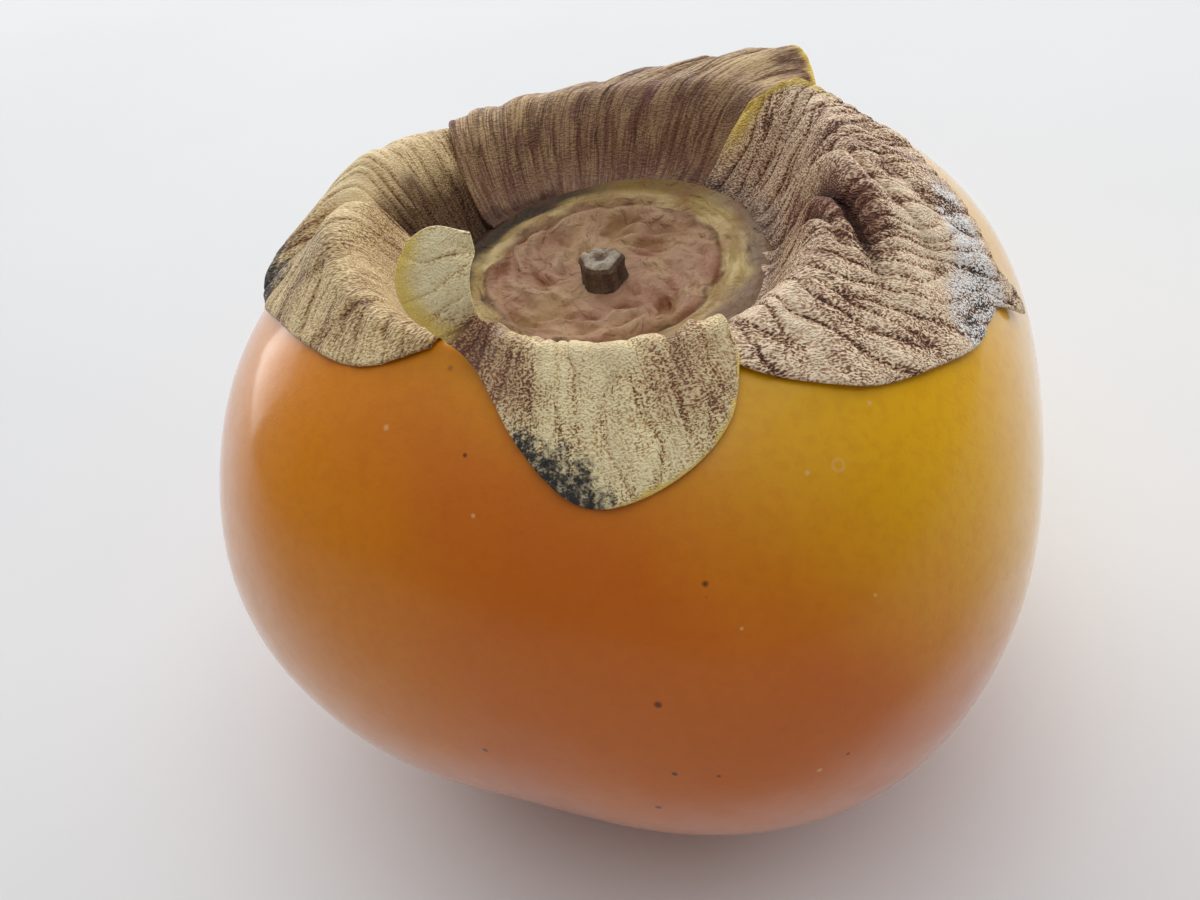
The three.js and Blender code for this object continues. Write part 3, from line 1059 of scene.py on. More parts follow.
@dataclass
class FruitBody:
    """The squarish round fruit with its basin at the stem end and its flat resting spot.

    Attributes:
        cheek_radius: Mean radius of the widest ring.
        cheek_height: Height of the widest ring.
        shoulder_rise: Rise from the widest ring to the crown, as if there were no basin.
        shoulder_fullness: Superellipse exponent above the widest ring.
        bottom_drop: Drop from the widest ring to the point that the flat spot cuts off.
        bottom_fullness: Superellipse exponent below the widest ring.
        lobe_share: How far the four cheeks stand out, as a share of the radius.
        lobe_azimuth: Azimuth of one of them, in degrees.
        oval_share: How far the long axis of the plan stands out.
        oval_azimuth: Azimuth of the long axis.
        dip_share: How much lower the shoulder is behind the calyx.
        dip_azimuth: Azimuth of the lowest shoulder.
        basin_floor: Height of the basin's floor.
        basin_floor_share: Radius of the floor, as a share of the fruit's radius.
        basin_crest_share: Radius of the crest around the basin.
        undulation: Height of the skin's gentle unevenness.
        waves: Its sines: waves round the axis, turn for each millimetre up, and start.
        calm_low: Heights between which it comes up to full.
        calm_high: Heights between which it goes again.
        spot_rings: First and last ring of the flat spot, as shares of its radius.
        columns: Points round the axis.
        rows: Rings on the bottom, the shoulder, the basin wall and the flat spot.
    """

    cheek_radius: float = 37.5
    cheek_height: float = 29.7
    shoulder_rise: float = 31.0
    shoulder_fullness: float = 2.25
    bottom_drop: float = 30.7
    bottom_fullness: float = 2.02
    lobe_share: float = 0.041
    lobe_azimuth: float = 19.0
    oval_share: float = 0.028
    oval_azimuth: float = 131.0
    dip_share: float = 0.07
    dip_azimuth: float = 100.0
    basin_floor: float = 47.5
    basin_floor_share: float = 0.372
    basin_crest_share: float = 0.565
    undulation: float = 0.10
    waves: tuple[Triple, ...] = ((5, 0.11, 0.0), (9, -0.17, 1.3), (3, 0.31, 0.7))
    calm_low: Span = (2.0, 14.0)
    calm_high: Span = (55.0, 44.0)
    spot_rings: Span = (0.2, 0.96)
    columns: int = 288
    rows: tuple[int, int, int, int] = (64, 76, 24, 6)

    def plan_share(self, angle: Array) -> Array:
        """One plus a four-lobed cosine and a two-lobed cosine: the plan's radius over its mean."""
        lobes = self.lobe_share * np.cos(4 * (angle - math.radians(self.lobe_azimuth)))
        return 1.0 + lobes + self.oval_share * np.cos(2 * (angle - math.radians(self.oval_azimuth)))

    def skin_height(self, share: Array, angle: Array) -> Array:
        """Height of the upper skin.

        A superellipse crown, lowered behind by a squared cosine, is blended by a smoothstep into the
        flat floor of the basin.

        Args:
            share: Distance from the axis over the plan's radius.
            angle: Azimuth in radians.

        Returns:
            Heights in millimetres.
        """
        behind = np.maximum(0.0, np.cos(angle - math.radians(self.dip_azimuth))) ** 2
        inside = np.maximum(0.0, 1.0 - share**self.shoulder_fullness) ** (1 / self.shoulder_fullness)
        crown = self.cheek_height + self.shoulder_rise * (1 - self.dip_share * behind) * inside
        wall = smoothstep(share, self.basin_floor_share, self.basin_crest_share)
        return self.basin_floor + (crown - self.basin_floor) * wall

    def skin_height_at(self, radius: Array, angle: Array) -> Array:
        """Height of the upper skin at a radius in millimetres."""
        share = radius / (self.cheek_radius * self.plan_share(angle))
        return self.skin_height(np.minimum(share, 1.0), angle)

    def skin_point(self, azimuth: float, radius: float, lift: float = 0.0) -> Array:
        """The point at a lift above the upper skin, by its azimuth in degrees and its radius."""
        angle = np.radians(azimuth)
        return polar(radius, angle, self.skin_height_at(np.array(radius), angle) + lift)

    def _rings(self) -> Array:
        """Rings of skin points from the edge of the flat spot up over the crest to the basin floor.

        Returns:
            Points by ring and column.
        """
        bottom, shoulder, wall, flat = self.rows
        angle = around(self.columns)
        reach = self.cheek_radius * self.plan_share(angle)
        spot_turn = math.asin((self.cheek_height / self.bottom_drop) ** (self.bottom_fullness / 2))
        turn = np.linspace(spot_turn, 0.0, bottom, endpoint=False)[:, None]
        low_share = np.cos(turn) ** (2 / self.bottom_fullness)
        low = self.cheek_height - self.bottom_drop * np.sin(turn) ** (2 / self.bottom_fullness)
        crest_turn = math.acos(self.basin_crest_share ** (self.shoulder_fullness / 2))
        high_turn = np.linspace(0.0, crest_turn, shoulder, endpoint=False)[:, None]
        inward = np.linspace(self.basin_crest_share, self.basin_floor_share, wall)[:, None]
        high_share = np.concatenate([np.cos(high_turn) ** (2 / self.shoulder_fullness), inward])
        high = self.skin_height(high_share, angle[None, :])
        spot_share = np.linspace(*self.spot_rings, flat)[:, None] * low_share[0]
        spot = polar(spot_share * reach, angle, np.zeros(1))
        below = polar(low_share * reach, angle, low)
        above = polar(high_share * reach, angle, high)
        return np.concatenate([spot, below, above])

    def build(self) -> bpy.types.Object:
        """Make the fruit: the ringed skin, moved in and out by a sum of slow sines over the cheeks.

        Returns:
            The fruit's object.
        """
        rings = self._rings()
        angle = around(self.columns)[None, :]
        height = rings[..., 2]
        wave = sum(np.sin(count * angle + climb * height + start) for count, climb, start in self.waves)
        cheek = smoothstep(height, *self.calm_low) * smoothstep(height, *self.calm_high)
        push = 1.0 + self.undulation * wave * cheek / self.cheek_radius
        rings[..., :2] *= push[..., None]
        return ring_body(rings, 0.0, self.basin_floor).to_object("fruit_skin")


@dataclass
class CalyxDisc:
    """The leathery disc in the basin: dished, with a ring ridge, soft lumps and puckers.

    Attributes:
        radius: Outer radius, under the sepals.
        moat_radius: Radius of its highest outer ring, where the sepals rise from it.
        underside: Height of its flat underside.
        centre_height: Height of its middle.
        rim_height: Height of its rim.
        ridge_radius: Radius of the ring ridge.
        ridge_height: Height of the ring ridge.
        pucker: Height of the radial puckers.
        lump: Height of the soft lumps inside the ring.
        bulge: Height of the swellings between ring and rim.
        tuck: How far the top falls again under the sepals' feet.
        groove_depth: Depth of the groove round the ring ridge.
        crevice_depth: How much lower the rim is under the far left sepals.
        crevice_azimuth: Azimuth of the lowest rim, in degrees.
        rounding: Radius of the rounded edge, seen from above.
        hub_radius: Radius of the innermost ring, under the stub.
        columns: Points round the axis.
        rows: Rings on the top.
        seed: Seed of the lumps.
    """

    radius: float = 15.2
    moat_radius: float = 13.4
    underside: float = 47.95
    centre_height: float = 48.7
    rim_height: float = 50.2
    ridge_radius: float = 9.4
    ridge_height: float = 0.3
    pucker: float = 0.35
    lump: float = 0.6
    bulge: float = 0.35
    tuck: float = 1.1
    groove_depth: float = 0.3
    crevice_depth: float = 0.5
    crevice_azimuth: float = 130.0
    rounding: float = 0.5
    hub_radius: float = 1.4
    columns: int = 300
    rows: int = 84
    seed: int = 11

    def top(self, radius: Array, angle: Array) -> tuple[Array, Array]:
        """Height of the disc's top, and its relief alone.

        A smoothstep dish carries a bell-shaped ring ridge with a bell-shaped groove round it, puckers
        from crossed sines, lumps from swirled noise inside the ring and swellings from noise outside it.
        The rim is lowered by a smoothstep under the sepals and by a bell of azimuth at the crevice.

        Args:
            radius: Distance from the axis.
            angle: Azimuth in radians.

        Returns:
            Heights in millimetres, and the relief graded from 0 to 1.
        """
        noise = GradientNoise(self.seed)
        dish = smoothstep(radius, self.ridge_radius / 2, self.moat_radius)
        tuck = self.tuck * smoothstep(radius, self.moat_radius, self.radius)
        wobble = self.ridge_radius + 0.35 * np.sin(2 * angle + 0.8) + 0.25 * np.sin(5 * angle)
        wobble = wobble + 0.3 * noise.fractal(2.5 * np.cos(angle) + 30, 2.5 * np.sin(angle) + 30)
        ridge = self.ridge_height * bell(radius, wobble, 0.7)
        towards = bell(np.cos(angle - math.radians(self.crevice_azimuth)), 1.0, 0.35)
        crevice = self.crevice_depth * towards * smoothstep(radius, 10.4, 12.8)
        band = smoothstep(radius, 3.0, 5.0) * smoothstep(radius, 12.5, 8.0)
        pucker = self.pucker * np.sin(5 * angle + radius) * np.cos(3 * angle - 0.9 * radius) * band
        swirl = angle + 0.10 * radius
        x = radius * np.cos(swirl)
        y = radius * np.sin(swirl)
        inside = smoothstep(radius, self.ridge_radius + 0.6, self.ridge_radius - 1.2)
        inside = smoothstep(radius, 2.4, 4.0) * inside
        lumps = noise.fractal(x / 4.2 + 40, y / 2.6 + 40) + 0.5 * noise.ridged(x / 3.4 + 9, y / 2.2 + 70)
        outside = smoothstep(radius, self.ridge_radius + 0.4, self.ridge_radius + 1.8)
        swellings = noise.fractal(4.5 * angle / math.pi + 80, radius / 1.6 + 9) * self.bulge * outside
        groove = self.groove_depth * bell(radius, wobble + 0.8, 0.3)
        relief = pucker + self.lump * (lumps * inside) + swellings + ridge - groove
        rise = (self.rim_height - self.centre_height) * dish - tuck - crevice
        return self.centre_height + rise + relief, np.clip(0.5 + 0.9 * (relief - ridge), 0.0, 1.0)

    def build(self) -> bpy.types.Object:
        """Make the disc: a flat underside, a rounded rim and the worked top.

        Returns:
            The disc's object.
        """
        angle = around(self.columns)[None, :]
        shoulder = self.radius - self.rounding
        inward = np.linspace(shoulder - 0.1, self.hub_radius, self.rows)[:, None]
        height, relief = self.top(inward, angle)
        edge_height, edge_relief = self.top(np.array([[shoulder]]), angle)
        turn = np.linspace(-math.pi / 2, math.pi / 2, 7)[:, None]
        middle = (edge_height + self.underside) / 2
        half = (edge_height - self.underside) / 2
        rim = polar(shoulder + self.rounding * np.cos(turn), angle, middle + half * np.sin(turn))
        rings = np.concatenate([rim, polar(inward, angle, height)])
        mesh = ring_body(rings, self.underside, self.centre_height)
        rim_relief = np.repeat(edge_relief, len(turn), axis=0)
        mesh.paint = {Paint.RIDGE: np.concatenate([rim_relief.ravel(), relief.ravel(), [0.5, 0.5]])}
        return mesh.to_object("calyx_disc_leather")


@dataclass
class StemStub:
    """The dry stub of the stalk: flared at the foot, ribbed, with a rough cut end.

    Attributes:
        radius: Mean radius of the stub.
        foot: Height of its foot.
        height: Its height.
        outline: Width and rise of the side from foot to cut edge, as shares.
        dish: Depth of the hollow in the cut end, as a share of the height.
        end_rough: Roughness of the cut end, as a share of the height.
        side_rough: Roughness of the side, as a share of the radius.
        pith: Widths between which the pith comes up to full, as shares.
        columns: Points round the axis.
        rows: Rings up the side.
        end_rows: Rings on the cut end.
        seed: Seed of the roughness.
    """

    radius: float = 1.85
    foot: float = 48.4
    height: float = 2.7
    outline: tuple[Span, ...] = ((1.12, 0.0), (1.02, 0.2), (0.98, 0.55), (1.0, 0.80), (0.84, 0.96))
    dish: float = 0.05
    end_rough: float = 0.10
    side_rough: float = 0.03
    pith: Span = (0.36, 0.18)
    columns: int = 72
    rows: int = 30
    end_rows: int = 12
    seed: int = 5

    def build(self) -> bpy.types.Object:
        """Make the stub: a smooth outline turned round the axis, ribbed by sines and roughened by noise.

        Returns:
            The stub's object.
        """
        noise = GradientNoise(self.seed)
        angle = around(self.columns)[None, :]
        side = catmull_rom(np.array(self.outline), np.linspace(0.0, 1.0, self.rows))
        inward = np.linspace(0.84, 0.10, self.end_rows)[:, None]
        width = np.concatenate([side[:, :1], inward * side[-1, 0]])
        cut = 1.0 - self.dish * smoothstep(inward, 0.5, 0.1)
        rise = np.concatenate([side[:, 1:], cut])
        ribs = 1.0 + 0.06 * np.sin(3 * angle + 0.5) + 0.05 * np.cos(5 * angle) + 0.015 * np.sin(17 * angle)
        reach = self.radius * width * ribs
        x = reach * np.cos(angle)
        y = reach * np.sin(angle)
        rough = noise.fractal(x * 1.1 + 20, y * 1.1 + rise * 3 + 20)
        on_end = np.concatenate([np.zeros((self.rows - 2, 1)), np.ones((self.end_rows + 2, 1))])
        height = self.foot + self.height * (rise + self.end_rough * rough * on_end)
        rings = polar(reach * (1 + self.side_rough * rough * (1 - on_end)), angle, height)
        top = float(rings[-1, :, 2].mean()) - 0.1
        mesh = ring_body(rings, self.foot, top)
        shade = np.broadcast_to(on_end, reach.shape)
        pith = np.broadcast_to(smoothstep(width, *self.pith) * on_end, reach.shape)
        mesh.paint = {
            Paint.RIDGE: np.concatenate([shade.ravel(), [0.0, 1.0]]),
            Paint.CHAR: np.concatenate([pith.ravel(), [0.0, 1.0]]),
        }
        return mesh.to_object("stem_stub_wood")


@dataclass(frozen=True)
class Fold:
    """A ridge, or a hollow if its height is negative, that runs outwards along a sepal.

    Attributes:
        start: Where its line leaves the disc, along the sepal.
        end: Where its line meets the margin.
        width: Its width, as a share of the sepal's length.
        height: Its height at its highest.
        middle: How far out it is highest, from disc to margin.
        spread: How far it reaches from there.
    """

    start: float
    end: float
    width: float
    height: float
    middle: float = 0.5
    spread: float = 0.35

    def relief(self, across: Array, outwards: Array) -> Array:
        """Height of the fold: a bell across its line times a bell along it."""
        line = self.start + (self.end - self.start) * outwards
        return self.height * bell(across, line, self.width) * bell(outwards, self.middle, self.spread)


@dataclass(frozen=True)
class Char:
    """A charcoal patch of a sepal: azimuth in degrees and radius of its middle, and its reach."""

    azimuth: float
    radius: float
    reach: float

    def cover(self, points: Array, fruit: FruitBody, fray: Array) -> Array:
        """Charring: a smooth fall with the frayed way from its middle, with heights counted as 0.6."""
        way = (points - fruit.skin_point(self.azimuth, self.radius)) * (1, 1, 0.6)
        return smoothstep(np.linalg.norm(way, axis=-1) / self.reach + 0.25 * fray, 2.6, 0.3)


@dataclass(frozen=True)
class PaintedLightPatch:
    """A patch of painted light on a sepal, paler where it is lit; with a negative amount, painted shade,
    darker where it is shaded.

    Attributes:
        azimuth: Azimuth of its middle, in degrees.
        radius: Distance of its middle from the axis.
        lift: Height of its middle above the skin.
        reach: How far it reaches.
        amount: How far it changes the tone.
    """

    azimuth: float
    radius: float
    lift: float
    reach: float
    amount: float

    def tone(self, points: Array, fruit: FruitBody, fray: Array) -> Array:
        """Painted light and shade: the amount times a smooth fall with the frayed way from its middle."""
        way = np.linalg.norm(points - fruit.skin_point(self.azimuth, self.radius, self.lift), axis=-1)
        return self.amount * smoothstep(way / self.reach + 0.3 * fray, 1.2, 0.2)


@dataclass(frozen=True)
class OliveRim:
    """A stretch of a sepal's margin, by its start and end along it, that has stayed olive."""

    start: float
    end: float
    width: float

    def cover(self, across: Array, to_margin: Array) -> Array:
        """Olive: a smooth window along the margin times a smooth fall across the width.

        Args:
            across: Places along the rails.
            to_margin: Frayed ways to the margin, in millimetres.

        Returns:
            How olive the points are, from 0 to 1.
        """
        starting = smoothstep(across, self.start - 0.03, self.start + 0.03)
        ending = smoothstep(across, self.end + 0.03, self.end - 0.03)
        return smoothstep(to_margin, self.width, 0.15 * self.width) * (starting * ending)[None, :]


@dataclass(frozen=True)
class PaintedShade:
    """A stretch of painted shade at the foot of a sepal.

    Attributes:
        start: Azimuth at which it starts, in degrees.
        end: Azimuth at which it ends.
        reach: Distance from the axis that it reaches out to, in millimetres.
        depth: How dark it is, from 0 to 1.
    """

    start: float
    end: float
    reach: float
    depth: float

    def shade(self, azimuth: Array, radius: Array) -> Array:
        """Painted shade: a smooth window of azimuth times a smooth fall of a millimetre about the reach.

        Args:
            azimuth: Azimuths in degrees.
            radius: Distances from the axis.

        Returns:
            How dark the points are, from 0 to 1.
        """
        starting = smoothstep(azimuth, self.start - 6, self.start + 6)
        ending = smoothstep(azimuth, self.end + 3, self.end - 3)
        return self.depth * (starting * ending) * smoothstep(radius, self.reach + 1.0, self.reach - 1.0)


@dataclass(frozen=True)
class Veins:
    """How a sepal's veins crinkle it.

    Attributes:
        spacing: Way between veins along the margin.
        length: Way along a vein before it wanders.
        height: Height of the crinkles.
        wander: How far a vein strays sideways, in spacings.
        buckle: Height of the broader buckles.
        slant: How far the veins turn along the margin for each millimetre out.
        bend: How far out that turn starts.
    """

    spacing: float
    length: float
    height: float
    wander: float
    buckle: float
    slant: float = 0.0
    bend: float = 0.0

    def relief(self, along: Array, out: Array, seed: int) -> tuple[Array, Array]:
        """Relief of the veins and buckles.

        The veins are thin furrows: the fifth power of ridged noise, long outwards and short across,
        with its places strayed by slower noise and turned by the slant. Finer plain noise lies between
        them, and broad plain noise makes the buckles.

        Args:
            along: Way along the margin, in millimetres.
            out: Way from disc to margin, in millimetres.
            seed: Seed of the noise.

        Returns:
            Heights in millimetres, and the veins alone graded from 0 to 1.
        """
        noise = GradientNoise(seed)
        stray = self.wander * noise.fractal(along / 7.0 + 3, out / 6.0 + 5, 2)
        turn = self.slant * np.maximum(out - self.bend, 0.0)
        lane = (along - turn) / self.spacing + stray
        furrow = np.maximum(noise.ridged(lane * 0.5, out / self.length + 11), 0.0) ** 5
        fine = noise.fractal(lane * 1.3 + 50, out / (0.3 * self.length) + 23, 2)
        vein = 0.22 * fine - 0.8 * furrow
        low, high = np.percentile(vein, (4, 96))
        ridge = (vein - low) / (high - low)
        buckle = noise.fractal(along / 6.0 + 71, out / 9.0 + 13, 2)
        return self.height * (2 * ridge - 1) + self.buckle * buckle, np.clip(ridge, 0.0, 1.0)


@dataclass
class BladeGrid:
    """The smooth middle of a sepal on a grid of outward places and places along it.

    Attributes:
        across: Places along the rails, from 0 to 1.
        outwards: Places from disc to margin, from 0 to 1.
        points: The points, in millimetres.
        hollow: Depth of the folds' hollows, from 0 to 1.
        out: Way from the disc, in millimetres.
        along: Way along the margin, in millimetres.
    """

    across: Array
    outwards: Array
    points: Array
    hollow: Array
    out: Array = field(init=False)
    along: Array = field(init=False)

    def __post_init__(self) -> None:
        """Add up the steps between neighbours, outwards everywhere and along the margin."""
        steps_out = np.linalg.norm(np.diff(self.points, axis=0), axis=-1)
        self.out = np.concatenate([np.zeros((1, len(self.across))), np.cumsum(steps_out, axis=0)])
        margin_steps = np.linalg.norm(np.diff(self.points[-1], axis=0), axis=-1)
        margin = np.concatenate([[0.0], np.cumsum(margin_steps)])
        self.along = np.broadcast_to(margin, self.out.shape)

    def normals(self) -> Array:
        """Unit normals: the cross product of the steps outwards and along."""
        normal = np.cross(np.gradient(self.points, axis=0), np.gradient(self.points, axis=1))
        return normal / np.linalg.norm(normal, axis=-1, keepdims=True)


@dataclass
class Sepal:
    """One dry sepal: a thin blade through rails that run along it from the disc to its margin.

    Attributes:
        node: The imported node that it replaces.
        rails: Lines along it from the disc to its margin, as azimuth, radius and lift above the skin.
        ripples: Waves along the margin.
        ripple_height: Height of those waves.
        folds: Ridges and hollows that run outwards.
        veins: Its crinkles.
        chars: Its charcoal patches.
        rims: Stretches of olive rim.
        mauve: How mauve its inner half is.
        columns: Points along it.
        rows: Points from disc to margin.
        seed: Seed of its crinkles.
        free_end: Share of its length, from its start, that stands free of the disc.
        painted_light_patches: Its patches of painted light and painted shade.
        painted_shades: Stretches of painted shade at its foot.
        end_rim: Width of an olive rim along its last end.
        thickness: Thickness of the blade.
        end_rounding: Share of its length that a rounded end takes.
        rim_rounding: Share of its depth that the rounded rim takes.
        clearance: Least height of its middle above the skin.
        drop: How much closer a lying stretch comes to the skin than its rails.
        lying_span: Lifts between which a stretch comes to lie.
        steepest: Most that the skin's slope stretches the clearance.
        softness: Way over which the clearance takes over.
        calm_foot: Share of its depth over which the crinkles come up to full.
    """

    node: str
    rails: tuple[Rail, ...]
    ripples: int
    ripple_height: float
    folds: tuple[Fold, ...]
    veins: Veins
    chars: tuple[Char, ...]
    rims: tuple[OliveRim, ...]
    mauve: float
    columns: int
    rows: int
    seed: int
    free_end: float = 0.0
    painted_light_patches: tuple[PaintedLightPatch, ...] = ()
    painted_shades: tuple[PaintedShade, ...] = ()
    end_rim: float = 0.0
    thickness: float = 0.4
    end_rounding: float = 0.006
    rim_rounding: float = 0.02
    clearance: float = 0.34
    drop: float = 0.3
    lying_span: Span = (3.0, 1.2)
    steepest: float = 2.6
    softness: float = 0.2
    calm_foot: float = 0.22

    def _rest(self, fruit: FruitBody, azimuth: Array, radius: Array, lift: Array) -> Array:
        """Stand points above the skin by their lift, never nearer than the clearance.

        The clearance is stretched by the skin's slope, and the larger of the two is taken softly as
        half the sum of the difference and the root of its square plus a small square.

        Args:
            fruit: The fruit that they lie on.
            azimuth: Azimuths in degrees.
            radius: Distances from the axis.
            lift: Heights above the skin.

        Returns:
            The points.
        """
        angle = np.radians(azimuth)
        step = 0.05
        rise = fruit.skin_height_at(radius + step, angle) - fruit.skin_height_at(radius - step, angle)
        least = self.clearance * np.minimum(np.hypot(rise / (2 * step), 1.0), self.steepest)
        spare = lift - self.drop * smoothstep(lift, *self.lying_span) - least
        soft = least + 0.5 * (spare + np.sqrt(spare**2 + self.softness**2))
        return polar(radius, angle, fruit.skin_height_at(radius, angle) + soft)

    def _middle_surface(self, fruit: FruitBody) -> BladeGrid:
        """Smooth middle of the blade: a smooth curve through the rails at every place along them.

        Args:
            fruit: The fruit that it lies on.

        Returns:
            The middle, with the sines of its ripples and the reliefs of its folds added to its lift.
        """
        across = edge_spaced(self.columns, self.end_rounding)
        outwards = edge_spaced(self.rows, self.rim_rounding)
        rails = [catmull_rom(np.array(rail, float), across) for rail in self.rails]
        net = catmull_rom(np.stack(rails), outwards)
        u = across[None, :]
        v = outwards[:, None]
        relief = self.ripple_height * np.sin(2 * math.pi * self.ripples * u) * v**2
        folds = np.zeros(net.shape[:2])
        for fold in self.folds:
            folds += fold.relief(u, v)
        points = self._rest(fruit, net[..., 0], net[..., 1], net[..., 2] + relief + folds)
        return BladeGrid(across, outwards, points, np.clip(-folds / 1.1, 0.0, 1.0))

    def build(self, fruit: FruitBody) -> bpy.types.Object:
        """Make the blade: its crinkled middle surface, thickened to both sides and rounded at the rim.

        The half thickness at a point is that of a half-round edge: the root of one less the square
        of the share of the rounding still to go.

        Args:
            fruit: The fruit that it lies on.

        Returns:
            The sepal's object.
        """
        grid = self._middle_surface(fruit)
        normal = grid.normals()
        height, ridge = self.veins.relief(grid.along, grid.out, self.seed)
        height = height * smoothstep(grid.outwards, 0.0, self.calm_foot)[:, None]
        middle = grid.points + normal * height[..., None]
        to_rim = np.minimum(grid.outwards, 1 - grid.outwards) / self.rim_rounding
        to_end = np.minimum(grid.across, 1 - grid.across) / self.end_rounding
        inset = np.minimum(np.minimum(to_rim[:, None], to_end[None, :]), 1.0)
        half = 0.5 * self.thickness * np.sqrt(np.maximum(0.0, 1 - (1 - inset) ** 2))
        step = normal * half[..., None]
        # The veins' tone is lowered in the folds' hollows: painted shade.
        paint = self._paint(fruit, grid, ridge * (1 - 0.7 * grid.hollow))
        return self._blade(middle + step, middle - step, paint).to_object(f"{self.node}_leaf")

    def _olive(self, grid: BladeGrid, fray: Array) -> Array:
        """Olive along the margin's stretches, and along the last end if it has a rim.

        Args:
            grid: The blade's smooth middle.
            fray: Noise that frays the rims, in millimetres.

        Returns:
            How olive the points are, from 0 to 1.
        """
        rim = np.zeros(grid.out.shape)
        for stretch in self.rims:
            rim = np.maximum(rim, stretch.cover(grid.across, grid.out[-1:] - grid.out + fray))
        if self.end_rim:
            to_end = grid.along[:, -1:] - grid.along + fray
            free = smoothstep(grid.outwards, 0.25, 0.6)[:, None]
            rim = np.maximum(rim, smoothstep(to_end, self.end_rim, 0.3 * self.end_rim) * free)
        return rim

    def _painted_shade(self, grid: BladeGrid, fray: Array) -> Array:
        """Painted shade: the deepest of the folds' hollows and the stretches at the foot.

        Args:
            grid: The blade's smooth middle.
            fray: Noise that frays the stretches, in millimetres.

        Returns:
            How dark the points are, from 0 to 1.
        """
        x, y = grid.points[..., 0], grid.points[..., 1]
        azimuth = np.degrees(np.arctan2(y, x))
        azimuth = np.where(azimuth < -100, azimuth + 360, azimuth)
        # Painted shade in the folds' hollows, and in the shaded stretches at the foot.
        shade = 0.95 * grid.hollow
        for stretch in self.painted_shades:
            shade = np.maximum(shade, stretch.shade(azimuth, np.hypot(x, y) + fray))
        return shade

    def _paint(self, fruit: FruitBody, grid: BladeGrid, ridge: Array) -> dict[Paint, Array]:
        """Values for the material: grain places, veins, patches of painted light and shade, charcoal, olive
        rim, mauve, lint and painted shade.

        Args:
            fruit: The fruit that it lies on.
            grid: The blade's smooth middle.
            ridge: Relief of the veins, from 0 to 1, lowered in the folds' hollows as painted shade.

        Returns:
            The values by name, each on the blade's grid.
        """
        fray = GradientNoise(self.seed + 100).fractal(grid.along / 2.2, grid.out / 2.2)
        char = np.zeros(grid.out.shape)
        for patch in self.chars:
            char = np.maximum(char, patch.cover(grid.points, fruit, fray))
        # Painted light and shade: paler patches where the sepal is lit, darker ones where it is shaded.
        tint = np.zeros(grid.out.shape)
        for patch in self.painted_light_patches:
            tint += patch.tone(grid.points, fruit, fray)
        rooted = np.ones((1, 1))
        if self.free_end:
            rooted = smoothstep(grid.across, self.free_end, self.free_end + 0.12)[None, :]
        inner = smoothstep(grid.outwards, 0.85, 0.1)[:, None] * rooted
        # Mauve near the disc is the leaf's own colour; the darker patches add mauve as painted shade.
        mauve = self.mauve * (inner + 0.5 * fray) - 2.5 * np.minimum(tint, 0.0)
        return {
            Paint.GRAIN: np.stack([grid.along, grid.out, np.zeros(grid.out.shape)], axis=-1),
            Paint.RIDGE: ridge,
            Paint.PAINTED_LIGHT: tint,
            Paint.CHAR: char,
            Paint.RIM: self._olive(grid, 0.3 * fray),
            Paint.MAUVE: np.clip(mauve, 0.0, 1.0),
            Paint.LINT: smoothstep(grid.out, 5.0, 2.2) * rooted,
            # Painted shade in the hollows and at the feet.
            Paint.PAINTED_SHADE: self._painted_shade(grid, 0.7 * fray),
        }

    @staticmethod
    def _blade(upper: Array, lower: Array, paint: dict[Paint, Array]) -> SurfaceMesh:
        """Join two grids of points along their shared border into one closed blade.

        Args:
            upper: Upper points by outward place and place along.
            lower: Lower points, equal to the upper ones on the border.
            paint: Values on the same grid.

        Returns:
            The closed blade: all upper points, then the lower ones inside the border.
        """
        rows, columns = upper.shape[:2]
        top = np.arange(rows * columns).reshape(rows, columns)
        under = top.copy()
        inside = np.arange((rows - 2) * (columns - 2)).reshape(rows - 2, columns - 2)
        under[1:-1, 1:-1] = rows * columns + inside
        quads = np.concatenate([grid_quads(top)[:, ::-1], grid_quads(under)])

        def both(above: Array, below: Array) -> Array:
            """Values of the upper points, then of the lower ones inside the border."""
            tail = above.shape[2:]
            return np.concatenate([above.reshape(-1, *tail), below[1:-1, 1:-1].reshape(-1, *tail)])

        painted = {label: both(values, values) for label, values in paint.items()}
        return SurfaceMesh(both(upper, lower), quads, paint=painted)


